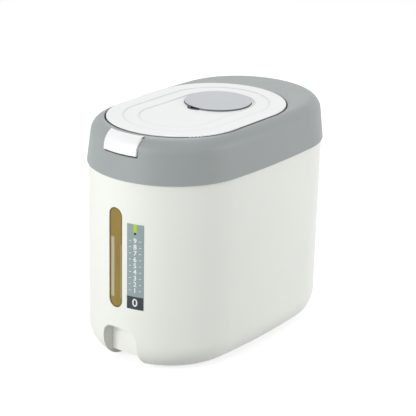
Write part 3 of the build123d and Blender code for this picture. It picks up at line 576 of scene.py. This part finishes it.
lid_tree = finishes["lid_white"].node_tree
lid_colour, lid_target = base_colour(finishes["lid_white"])
lid_place = split_place(lid_tree)
lid_slot = place_group(lid_tree, slot_depth, Half_Width=lid_half.x, Half_Length=lid_half.y)
lid_tree.links.new(lid_place["X"], lid_slot.inputs["Across"])
lid_along = math_node(lid_tree, "SUBTRACT", lid_place["Y"], lid_middle.y)
lid_tree.links.new(lid_along, lid_slot.inputs["Along"])
# Painted shade: a faint grey line at each contour step.
for contour_depth in CONTOUR_DEPTHS:
    from_line = math_node(lid_tree, "SUBTRACT", lid_slot.outputs["Depth"], contour_depth)
    line_cover = soft_band(lid_tree, from_line, CONTOUR_HALF_WIDTH, CONTOUR_BLEED)
    line_share = math_node(lid_tree, "MULTIPLY", line_cover, CONTOUR_SHARE)
    lid_colour = mix_colour(lid_tree, line_share, lid_colour, CONTOUR_SHADE)
lid_tree.links.new(lid_colour, lid_target)
print("lid half width and half length:", round(lid_half.x, 4), round(lid_half.y, 4))

# %% [markdown]
# ## Finger notch
# The pocket beside the cap is so narrow that it reads as a dark hole, and so does the hollow in the
# cap's edge above it. Its place is one of the stated openings of the frame. One group marks what lies
# near that place and below a given height, and lid and cap are each painted dark there as painted shade.

# %% Finger notch group
openings = {opening["name"]: opening["box_m"] for opening in frame["record"]["physics"]["openings"]}
notch_low, notch_high = (Vector(corner) for corner in openings["cap_finger_notch"])
notch_middle = (notch_low + notch_high) / 2

notch_group, notch_in, notch_out = new_group(
    "finger_notch",
    [
        ("Reach", "NodeSocketFloat", 0.005),
        ("Top", "NodeSocketFloat", 0.0),
    ],
    [("Mask", "NodeSocketFloat")],
)
notch_place = split_place(notch_group)
from_notch_x = math_node(notch_group, "SUBTRACT", notch_place["X"], notch_middle.x)
from_notch_y = math_node(notch_group, "SUBTRACT", notch_place["Y"], notch_middle.y)
from_notch = flat_length(notch_group, from_notch_x, from_notch_y)
in_reach = math_node(notch_group, "LESS_THAN", from_notch, notch_in.outputs["Reach"])
below_top = math_node(notch_group, "LESS_THAN", notch_place["Z"], notch_in.outputs["Top"])
notch_group.links.new(math_node(notch_group, "MULTIPLY", in_reach, below_top), notch_out.inputs["Mask"])
print("notch at", [round(value, 4) for value in notch_middle])

# %% Finger notch shade
NOTCH_SHADE = (0.012, 0.012, 0.012, 1.0)
LID_NOTCH_REACH = 8.5 * MM
LID_NOTCH_DROP = 1.3 * MM
CAP_NOTCH_REACH = 7.5 * MM
CAP_NOTCH_DROP = 0.7 * MM
cap_low, cap_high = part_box("desiccant_cap")

for slot_name, notch_reach, notch_top in (
    ("lid_white", LID_NOTCH_REACH, lid_high.z - LID_NOTCH_DROP),
    ("cap_grey", CAP_NOTCH_REACH, cap_high.z - CAP_NOTCH_DROP),
):
    tree = finishes[slot_name].node_tree
    colour, target = base_colour(finishes[slot_name])
    shade = place_group(tree, notch_group, Reach=notch_reach, Top=notch_top)
    tree.links.new(mix_colour(tree, shade.outputs["Mask"], colour, NOTCH_SHADE), target)
    print(slot_name, "is dark in the notch below", round(notch_top, 4))

# %% [markdown]
# ## Level window
# The window is a clear strip with the grain and the shaded inside of the tub behind it. True glass
# would show an empty dark tub, so the strip keeps an amber body under a clear coat. Its rim is painted
# darker as painted shade, and two paler stripes are painted light, where the bright wall behind the
# strip shows through.

# %% Level window body
WINDOW_AMBER = (0.33, 0.245, 0.06, 1.0)
WINDOW_DEEP = (0.235, 0.16, 0.03, 1.0)
WINDOW_STREAK_SCALE = 420.0
WINDOW_STREAK_STRETCH = (1.0, 1.0, 0.08)
WINDOW_STREAK_DETAIL = 3.0
WINDOW_ROUGHNESS = 0.4
WINDOW_GLOSS = 0.1
WINDOW_COAT = 0.2
WINDOW_COAT_ROUGHNESS = 0.06

window_finish, window_tree, window_shader = new_finish("window_amber")
window_lay = window_tree.nodes.new("ShaderNodeMapping")
window_lay.inputs["Scale"].default_value = WINDOW_STREAK_STRETCH
window_tree.links.new(object_place(window_tree), window_lay.inputs["Vector"])
window_streak = noise(window_tree, window_lay.outputs[0], WINDOW_STREAK_SCALE, WINDOW_STREAK_DETAIL)
window_colour = mix_colour(window_tree, window_streak, WINDOW_DEEP, WINDOW_AMBER)
window_shader.inputs["Roughness"].default_value = WINDOW_ROUGHNESS
window_shader.inputs["Specular IOR Level"].default_value = WINDOW_GLOSS
window_shader.inputs["Coat Weight"].default_value = WINDOW_COAT
window_shader.inputs["Coat Roughness"].default_value = WINDOW_COAT_ROUGHNESS
finishes["window_amber"] = window_finish
print("window finish with", len(window_tree.nodes), "nodes so far")

# %% Level window painted light stripes and rim shade
# Each stripe has its place across and up from the window's middle, its half width and half height.
WINDOW_STRIPES = (
    (-4.4 * MM, -11.0 * MM, 2.1 * MM, 33.5 * MM),
    (7.4 * MM, -14.0 * MM, 0.5 * MM, 30.0 * MM),
)
STRIPE_BLEED = 1.6 * MM
WINDOW_PAINTED_LIGHT = (0.47, 0.44, 0.31, 1.0)
WINDOW_RIM_SHADE = (0.09, 0.055, 0.012, 1.0)
WINDOW_OPEN_HALF_WIDTH = 8.9 * MM
RIM_WIDTH = 2.2 * MM
window_low, window_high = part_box("level_window")
window_middle = (window_low + window_high) / 2
window_half = (window_high - window_low) / 2
window_flange = window_half.x - WINDOW_OPEN_HALF_WIDTH

# Painted light: each pale stripe is the bright wall behind the strip painted into the colour.
for stripe_x, stripe_z, stripe_half_width, stripe_half_height in WINDOW_STRIPES:
    stripe = place_group(
        window_tree,
        printed,
        Middle_X=window_middle.x + stripe_x,
        Middle_Z=window_middle.z + stripe_z,
        Half_Width=stripe_half_width,
        Half_Height=stripe_half_height,
        Bleed=STRIPE_BLEED,
    )
    window_colour = mix_colour(window_tree, stripe.outputs["Mask"], window_colour, WINDOW_PAINTED_LIGHT)
window_slot = place_group(
    window_tree,
    slot_depth,
    Half_Width=WINDOW_OPEN_HALF_WIDTH,
    Half_Length=window_half.z - window_flange,
)
window_place = split_place(window_tree)
for axis, middle, label in (("X", window_middle.x, "Across"), ("Z", window_middle.z, "Along")):
    from_middle = math_node(window_tree, "SUBTRACT", window_place[axis], middle)
    window_tree.links.new(from_middle, window_slot.inputs[label])
# Painted shade: the colour darkens across the outer RIM_WIDTH of the window's opening.
rim_rise = math_node(window_tree, "DIVIDE", window_slot.outputs["Depth"], RIM_WIDTH, clamp=True)
rim_shade_share = math_node(window_tree, "SUBTRACT", 1.0, rim_rise)
window_colour = mix_colour(window_tree, rim_shade_share, window_colour, WINDOW_RIM_SHADE)
window_tree.links.new(window_colour, window_shader.inputs["Base Color"])
print("window spans z", round(window_low.z, 4), "to", round(window_high.z, 4))

# %% [markdown]
# ## Label film
# The label is a printed strip: a grey-blue field, a dark block at its foot, and a green tab with a
# small black square at its head. Each of them is a rectangle of the print group, laid over the field
# in turn. The white scale on top has real ink and comes later as a piece of its own.

# %% Label finish
LABEL_FIELD = (0.27, 0.345, 0.36, 1.0)
LABEL_FIELD_PALE = (0.33, 0.405, 0.42, 1.0)
LABEL_DARK = (0.035, 0.047, 0.054, 1.0)
LABEL_GREEN = (0.44, 0.66, 0.004, 1.0)
LABEL_BLACK = (0.01, 0.012, 0.012, 1.0)
LABEL_MOTTLE_SCALE = 900.0
LABEL_MOTTLE_DETAIL = 3.0
LABEL_ROUGHNESS = 0.42
LABEL_GLOSS = 0.3
BLOCK_HEIGHT = 14.3 * MM
TAB_WIDTH = 3.6 * MM
TAB_HEIGHT = 9.0 * MM
SQUARE_SIDE = 2.4 * MM
label_low, label_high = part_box("scale_label")
label_middle_x = (label_low.x + label_high.x) / 2
block_middle_z = label_low.z + BLOCK_HEIGHT / 2
scale_top = label_high.z - TAB_HEIGHT - SQUARE_SIDE

label_finish, label_tree, label_shader = new_finish("label_print")
mottle = noise(label_tree, object_place(label_tree), LABEL_MOTTLE_SCALE, LABEL_MOTTLE_DETAIL)
label_colour = mix_colour(label_tree, mottle, LABEL_FIELD, LABEL_FIELD_PALE)
label_blocks = (
    (block_middle_z, label_high.x - label_low.x, BLOCK_HEIGHT, LABEL_DARK),
    (label_high.z - TAB_HEIGHT / 2, TAB_WIDTH, TAB_HEIGHT, LABEL_GREEN),
    (scale_top + SQUARE_SIDE / 2, SQUARE_SIDE, SQUARE_SIDE, LABEL_BLACK),
)
for block_z, block_width, block_height, block_colour in label_blocks:
    block = place_group(
        label_tree,
        printed,
        Middle_X=label_middle_x,
        Middle_Z=block_z,
        Half_Width=block_width / 2,
        Half_Height=block_height / 2,
    )
    label_colour = mix_colour(label_tree, block.outputs["Mask"], label_colour, block_colour)
label_tree.links.new(label_colour, label_shader.inputs["Base Color"])
label_shader.inputs["Roughness"].default_value = LABEL_ROUGHNESS
label_shader.inputs["Specular IOR Level"].default_value = LABEL_GLOSS
finishes["label_print"] = label_finish
print("label spans z", round(label_low.z, 4), "to", round(label_high.z, 4))

# %% [markdown]
# ## Silicone and steel
# The seal is soft silicone, slightly see-through, so a little light goes under its skin. Pins, axles
# and spring are bright steel that was drawn through a die. They lie across the bin, so a noise that is
# stretched along X gives them their fine lines.

# %% Silicone finish
SILICONE_COLOUR = (0.72, 0.74, 0.74, 1.0)
SILICONE_BUMP = 0.3
SILICONE_DEPTH_SHARE = 0.25
SILICONE_RADIUS = (1.2 * MM, 1.2 * MM, 1.1 * MM)

silicone, silicone_tree, silicone_shader = new_finish("gasket_silicone")
grained_skin(
    silicone_tree,
    silicone_shader,
    SILICONE_BUMP,
    Color=SILICONE_COLOUR,
    Roughness=0.5,
    Grain_Scale=1400.0,
    Flow_Spread=0.08,
)
silicone_shader.inputs["Subsurface Weight"].default_value = SILICONE_DEPTH_SHARE
silicone_shader.inputs["Subsurface Radius"].default_value = SILICONE_RADIUS
silicone_shader.inputs["Subsurface Scale"].default_value = 1.0
finishes["gasket_silicone"] = silicone
print("silicone finish with", len(silicone_tree.nodes), "nodes")

# %% Steel finish
STEEL_DARK = (0.5, 0.5, 0.51, 1.0)
STEEL_BRIGHT = (0.66, 0.66, 0.66, 1.0)
STEEL_LINE_SCALE = 3200.0
STEEL_LINE_STRETCH = (0.05, 1.0, 1.0)
STEEL_ROUGHNESS = 0.2
STEEL_ROUGHNESS_SPREAD = 0.2

steel, steel_tree, steel_shader = new_finish("steel")
drawn = steel_tree.nodes.new("ShaderNodeMapping")
drawn.inputs["Scale"].default_value = STEEL_LINE_STRETCH
steel_tree.links.new(object_place(steel_tree), drawn.inputs["Vector"])
lines = noise(steel_tree, drawn.outputs[0], STEEL_LINE_SCALE)
steel_colour = mix_colour(steel_tree, lines, STEEL_DARK, STEEL_BRIGHT)
steel_rough = math_node(steel_tree, "MULTIPLY_ADD", lines, STEEL_ROUGHNESS_SPREAD, STEEL_ROUGHNESS)
steel_tree.links.new(steel_colour, steel_shader.inputs["Base Color"])
steel_tree.links.new(steel_rough, steel_shader.inputs["Roughness"])
steel_shader.inputs["Metallic"].default_value = 1.0
finishes["steel"] = steel
print("steel finish with", len(steel_tree.nodes), "nodes")

# %% [markdown]
# ## Finishes on the frame
# Every node of the frame names its finish in the record, so one loop dresses them all. Doing it by hand
# would work as well, but a renamed node would then lose its finish without a word.

# %% Give every frame node its finish
node_slots = {part["node"]: part["material_slot"] for part in frame["record"]["subparts"]}
for name, node in nodes.items():
    node.data.materials.clear()
    node.data.materials.append(finishes[node_slots[name]])
print("finished nodes:", len(nodes))

# %% [markdown]
# ## Level scale
# The scale is screen print: thin white ink with an edge that can be felt. Plain numbers come from a
# text curve, ticks from small grids, and both are laid on the curved label by casting a ray from each
# point to the film. A solid skin then gives the ink its thickness.

# %% Ink finish
INK_WHITE = (0.85, 0.86, 0.86, 1.0)
INK_BUMP = 0.2

ink, ink_tree, ink_shader = new_finish("scale_ink")
grained_skin(
    ink_tree, ink_shader, INK_BUMP, Color=INK_WHITE, Roughness=0.5, Flow_Spread=0.06, Grain_Scale=3000.0
)
print("ink finish with", len(ink_tree.nodes), "nodes")

# %% Piece helpers
def add_piece(name, build_mesh, finish, body=None, stands_for=None, smooth=True):
    """Make an object from a bmesh, finish it, and let it ride on a body of the frame if one is named."""
    mesh = mesh_of(name, build_mesh)
    for face in mesh.polygons:
        face.use_smooth = smooth
    mesh.materials.append(finish)
    piece = bpy.data.objects.new(name, mesh)
    scene.collection.objects.link(piece)
    if body:
        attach(piece, body)
    if stands_for:
        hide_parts(stands_for)
    return piece


def finished_mesh(carrier):
    """The finished mesh of an object that is only needed for its shape; the object is removed."""
    scene.collection.objects.link(carrier)
    graph = bpy.context.evaluated_depsgraph_get()
    mesh = bpy.data.meshes.new_from_object(carrier.evaluated_get(graph))
    bpy.data.objects.remove(carrier)
    return mesh


# %% Scale helpers
STROKE_GAIN = 0.12 * MM
NUMBER_CURVE_STEPS = 3
TICK_CUTS = 3
STAND_UP = Matrix.Rotation(math.radians(90), 4, "X")


def add_numbers(build_mesh, lines, size, line_pitch, middle):
    """Add upright plain numbers, one to a line, around a point of the front."""
    curve = bpy.data.curves.new("numbers", "FONT")
    curve.body = "\n".join(lines)
    curve.size = size
    curve.space_line = line_pitch / size
    curve.align_x = "CENTER"
    curve.align_y = "CENTER"
    curve.resolution_u = NUMBER_CURVE_STEPS
    curve.offset = STROKE_GAIN
    mesh = finished_mesh(bpy.data.objects.new("numbers", curve))
    mesh.transform(Matrix.Translation(middle) @ STAND_UP)
    build_mesh.from_mesh(mesh)


def add_tick(build_mesh, middle, width, height):
    """Add an upright flat bar, cut across so that it can bend round the label."""
    sized = Matrix.Translation(middle) @ STAND_UP @ Matrix.Diagonal((width, height, 1.0, 1.0))
    bmesh.ops.create_grid(build_mesh, x_segments=TICK_CUTS, y_segments=1, size=0.5, matrix=sized)


# %% Numbers and ticks
SCALE_NUMBERS = [str(number) for number in range(9, 0, -1)]
NUMBER_SIZE = 7.6 * MM
NUMBER_PITCH = 6.9 * MM
ZERO_SIZE = 12.5 * MM
TICK_SIZE = (2.4 * MM, 0.6 * MM)
TICK_SPREAD = 5.6 * MM
scale_middle_z = (label_low.z + BLOCK_HEIGHT + scale_top) / 2
first_tick_z = scale_middle_z - (len(SCALE_NUMBERS) - 1) / 2 * NUMBER_PITCH
scale_middle = Vector((label_middle_x, 0, scale_middle_z))
zero_middle = Vector((label_middle_x, 0, block_middle_z))

scale_bm = bmesh.new()
add_numbers(scale_bm, SCALE_NUMBERS, NUMBER_SIZE, NUMBER_PITCH, scale_middle)
add_numbers(scale_bm, ["0"], ZERO_SIZE, ZERO_SIZE, zero_middle)
for step in range(len(SCALE_NUMBERS)):
    for side in (-1, 1):
        tick_x = label_middle_x + side * TICK_SPREAD
        add_tick(scale_bm, Vector((tick_x, 0, first_tick_z + step * NUMBER_PITCH)), *TICK_SIZE)
print("flat faces of the scale:", len(scale_bm.faces))

# %% Lay the ink on the film
INK_CLEARANCE = 0.03 * MM
INK_THICKNESS = 0.03 * MM
RAY_START = 50 * MM
MERGE_DISTANCE = 0.001 * MM

label_bm = bmesh.new()
label_bm.from_mesh(nodes["scale_label"].data)
film = BVHTree.FromBMesh(label_bm)
for vertex in scale_bm.verts:
    before_film = Vector((vertex.co.x, label_low.y - RAY_START, vertex.co.z))
    touch = film.ray_cast(before_film, Vector((0, 1, 0)))[0]
    vertex.co.y = touch.y - INK_CLEARANCE
label_bm.free()
bmesh.ops.remove_doubles(scale_bm, verts=scale_bm.verts, dist=MERGE_DISTANCE)
bmesh.ops.solidify(scale_bm, geom=scale_bm.faces, thickness=INK_THICKNESS)
print("ink on the scale, cubic mm:", round(scale_bm.calc_volume(signed=True) / MM**3, 3))
add_piece("level_scale", scale_bm, ink, "bin", smooth=False)

# %% [markdown]
# ## Screws
# The frame's screws are plain heads on plain shanks. One turned head with a cross recess is made from
# a spun profile and a boolean cut, and a copy of it stands at the place of every plain screw. The
# places come from the loose solids of the frame's own node, so they follow it when it moves.

# %% Carving helpers
def carved_mesh(blank_mesh, cutter_mesh, cutter_places):
    """The mesh of a blank after a cutter has been taken out of it at each place."""
    blank = bpy.data.objects.new("blank", blank_mesh)
    cutters = []
    for place in cutter_places:
        cutter = bpy.data.objects.new("cutter", cutter_mesh)
        cutter.matrix_world = place
        carve = blank.modifiers.new("carve", "BOOLEAN")
        carve.object = cutter
        carve.solver = "EXACT"
        cutters.append(cutter)
    mesh = finished_mesh(blank)
    for cutter in cutters:
        bpy.data.objects.remove(cutter)
    return mesh


def merged_copy(node_name):
    """A bmesh of a frame node with its loose triangles joined."""
    build_mesh = bmesh.new()
    build_mesh.from_mesh(nodes[node_name].data)
    bmesh.ops.remove_doubles(build_mesh, verts=build_mesh.verts, dist=MERGE_DISTANCE)
    return build_mesh


def loose_solids(node_name):
    """The corner points of every loose solid in a frame node, as lists of vectors."""
    build_mesh = merged_copy(node_name)
    waiting = set(build_mesh.verts)
    solids = []
    while waiting:
        growing = [waiting.pop()]
        points = []
        while growing:
            vertex = growing.pop()
            points.append(vertex.co.copy())
            for edge in vertex.link_edges:
                neighbour = edge.other_vert(vertex)
                if neighbour in waiting:
                    waiting.remove(neighbour)
                    growing.append(neighbour)
        solids.append(points)
    build_mesh.free()
    return solids


# %% Screw maker
# The head's profile is given in shares of its radius and of its height, from the middle of its face.
HEAD_PROFILE = ((0.0, 0.0), (0.45, 0.03), (0.75, 0.14), (0.93, 0.4), (1.0, 0.75), (1.0, 1.0))
RECESS_ARM = 0.62
RECESS_WIDTH = 0.24
RECESS_DEPTH = 0.62
SPIN_STEPS = 32


def screw_mesh(head_radius, head_height, shank_radius, length):
    """A cross-recess screw that points up, with its head on the ground plane."""
    profile = [(share * head_radius, rise * head_height) for share, rise in HEAD_PROFILE]
    profile += [(shank_radius, head_height), (shank_radius, length), (0, length)]
    turned = bmesh.new()
    corners = [turned.verts.new((radius, 0, height)) for radius, height in profile]
    outline = [turned.edges.new(pair) for pair in zip(corners, corners[1:])]
    bmesh.ops.spin(
        turned,
        geom=corners + outline,
        cent=(0, 0, 0),
        axis=(0, 0, 1),
        angle=math.tau,
        steps=SPIN_STEPS,
        use_merge=True,
    )
    bmesh.ops.remove_doubles(turned, verts=turned.verts, dist=MERGE_DISTANCE)
    bmesh.ops.recalc_face_normals(turned, faces=turned.faces)

    bar = bmesh.new()
    arm = 2 * RECESS_ARM * head_radius
    width = 2 * RECESS_WIDTH * head_radius
    depth = 2 * RECESS_DEPTH * head_height
    bmesh.ops.create_cube(bar, size=1.0, matrix=Matrix.Diagonal((arm, width, depth, 1.0)))
    cross = [Matrix.Rotation(math.radians(angle), 4, "Z") for angle in (0, 90)]
    return carved_mesh(mesh_of("screw_blank", turned), mesh_of("recess_bar", bar), cross)


# %% Dress the screws
HEAD_SHARE = 0.9
TURN_PER_SCREW = 37.0


def dress_screws(node_name, body):
    """Put a cross-recess screw at the place of every plain screw of a frame node."""
    solids = loose_solids(node_name)
    build_mesh = bmesh.new()
    for count, points in enumerate(solids):
        low = Vector(min(point[axis] for point in points) for axis in range(3))
        high = Vector(max(point[axis] for point in points) for axis in range(3))
        axis_x, axis_y = (low.x + high.x) / 2, (low.y + high.y) / 2
        radii = [(math.hypot(point.x - axis_x, point.y - axis_y), point.z) for point in points]
        head_radius = max(radius for radius, height in radii)
        head_top = max(height for radius, height in radii if radius > HEAD_SHARE * head_radius)
        shank_radius = max(radius for radius, height in radii if height > (low.z + 3 * high.z) / 4)
        mesh = screw_mesh(head_radius, head_top - low.z, shank_radius, high.z - low.z)
        driven = Matrix.Rotation(math.radians(TURN_PER_SCREW * count), 4, "Z")
        mesh.transform(Matrix.Translation((axis_x, axis_y, low.z)) @ driven)
        build_mesh.from_mesh(mesh)
    bmesh.ops.remove_doubles(build_mesh, verts=build_mesh.verts, dist=MERGE_DISTANCE)
    bmesh.ops.dissolve_degenerate(build_mesh, edges=build_mesh.edges, dist=MERGE_DISTANCE)
    name = node_name + "_dressed"
    add_piece(name, build_mesh, steel, body, node_name, smooth=False)
    print(name, "screws:", len(solids))


dress_screws("lid_screws", "lid")
dress_screws("cradle_screws", "bin")

# %% [markdown]
# ## Cap
# A finger lifts the cap at the notch, so the cap's edge is hollow there from below and leaves a thin
# lip. A round hollow is hard to extrude out of a disc, so an egg shape is cut from a merged copy of
# the cap with a boolean. Edges that turn sharply are marked, so that only the round ones look smooth.

# %% Cap with a finger hollow
HOLLOW_RADII = Vector((6.5, 4.2, 3.4)) * MM
LIP_THICKNESS = 0.8 * MM
EGG_SEGMENTS = 48
EGG_RINGS = 24
SHARP_ANGLE = 35.0
cap_middle = (cap_low + cap_high) / 2
toward_notch = (notch_middle - cap_middle) * Vector((1, 1, 0))
edge_point = cap_middle + toward_notch.normalized() * (cap_high.x - cap_low.x) / 2
hollow_centre = Vector((edge_point.x, edge_point.y, cap_high.z - LIP_THICKNESS - HOLLOW_RADII.z))

egg_bm = bmesh.new()
egg_place = Matrix.Translation(hollow_centre) @ Matrix.Diagonal((*HOLLOW_RADII, 1.0))
bmesh.ops.create_uvsphere(
    egg_bm, u_segments=EGG_SEGMENTS, v_segments=EGG_RINGS, radius=1.0, matrix=egg_place
)
cap_bm = merged_copy("desiccant_cap")
solid_volume = cap_bm.calc_volume(signed=True)
scooped = carved_mesh(mesh_of("cap_blank", cap_bm), mesh_of("hollow_egg", egg_bm), [Matrix()])

hollow_bm = bmesh.new()
hollow_bm.from_mesh(scooped)
open_edges = sum(1 for edge in hollow_bm.edges if not edge.is_manifold)
taken = (solid_volume - hollow_bm.calc_volume(signed=True)) / MM**3
print("hollow, cubic mm:", round(taken, 1), "open edges:", open_edges)
cap = add_piece("cap_with_hollow", hollow_bm, finishes["cap_grey"], "cap", "desiccant_cap")
cap.data.set_sharp_from_angle(angle=math.radians(SHARP_ANGLE))

# %% [markdown]
# ## Seal
# A silicone seal is never a square bar: it has a round lip that gives way when the lid is shut. The
# section is drawn once, flat where it lies against the lid, spun round the rear end, drawn straight
# along one side, spun round the front end and drawn back. The last ring is merged with the first.

# %% Section of the seal
SEAL_WIDTH = 4.0 * MM
SEAL_SECTION_POINTS = 16
SEAL_FLAT_SHARE = 1.2
seal_low, seal_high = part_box("lid_gasket")
seal_half_height = (seal_high.z - seal_low.z) / 2
seal_track = seal_high.x - SEAL_WIDTH / 2
rear_centre_y = seal_high.y - seal_high.x
front_centre_y = seal_low.y + seal_high.x

seal_bm = bmesh.new()
section_size = Matrix.Diagonal((SEAL_WIDTH / 2, seal_half_height, 1.0, 1.0))
section_place = Matrix.Translation((seal_track, rear_centre_y, seal_low.z + seal_half_height))
bmesh.ops.create_circle(
    seal_bm, segments=SEAL_SECTION_POINTS, radius=1.0, matrix=section_place @ STAND_UP @ section_size
)
for vertex in seal_bm.verts:
    if vertex.co.z > seal_low.z + SEAL_FLAT_SHARE * seal_half_height:
        vertex.co.z = seal_high.z
print("section points:", len(seal_bm.verts))

# %% Seal with a round lip
SEAL_MERGE_DISTANCE = 0.01 * MM
seal_run = rear_centre_y - front_centre_y

swept = list(seal_bm.verts) + list(seal_bm.edges)
for centre_y, straight_run in ((rear_centre_y, -seal_run), (front_centre_y, seal_run)):
    last_ring = bmesh.ops.spin(
        seal_bm, geom=swept, cent=(0, centre_y, 0), axis=(0, 0, 1), angle=math.pi, steps=SPIN_STEPS
    )["geom_last"]
    ring_edges = [item for item in last_ring if isinstance(item, bmesh.types.BMEdge)]
    drawn_out = bmesh.ops.extrude_edge_only(seal_bm, edges=ring_edges)["geom"]
    end_points = [item for item in drawn_out if isinstance(item, bmesh.types.BMVert)]
    bmesh.ops.translate(seal_bm, verts=end_points, vec=(0, straight_run, 0))
    end_edges = [edge for edge in seal_bm.edges if all(vertex in end_points for vertex in edge.verts)]
    swept = end_points + end_edges
bmesh.ops.remove_doubles(seal_bm, verts=seal_bm.verts, dist=SEAL_MERGE_DISTANCE)
bmesh.ops.recalc_face_normals(seal_bm, faces=seal_bm.faces)
open_edges = sum(1 for edge in seal_bm.edges if not edge.is_manifold)
seal_volume = seal_bm.calc_volume(signed=True) / MM**3
print("seal volume, cubic mm:", round(seal_volume), "open edges:", open_edges)
add_piece("lid_seal", seal_bm, silicone, "lid", "lid_gasket")

# %% [markdown]
# ## Latch spring
# The strip behind the button is a lying U: on the real bin one leg stays on the collar and the other
# follows the button. A merged copy of it takes the place of the frame's strip, with its place baked
# into its points, and it rides on no body.

# %% Latch spring
spring_bm = merged_copy("latch_spring")
print("spring points:", len(spring_bm.verts))
spring = add_piece("latch_spring_strip", spring_bm, steel, None, "latch_spring", smooth=False)
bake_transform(spring)
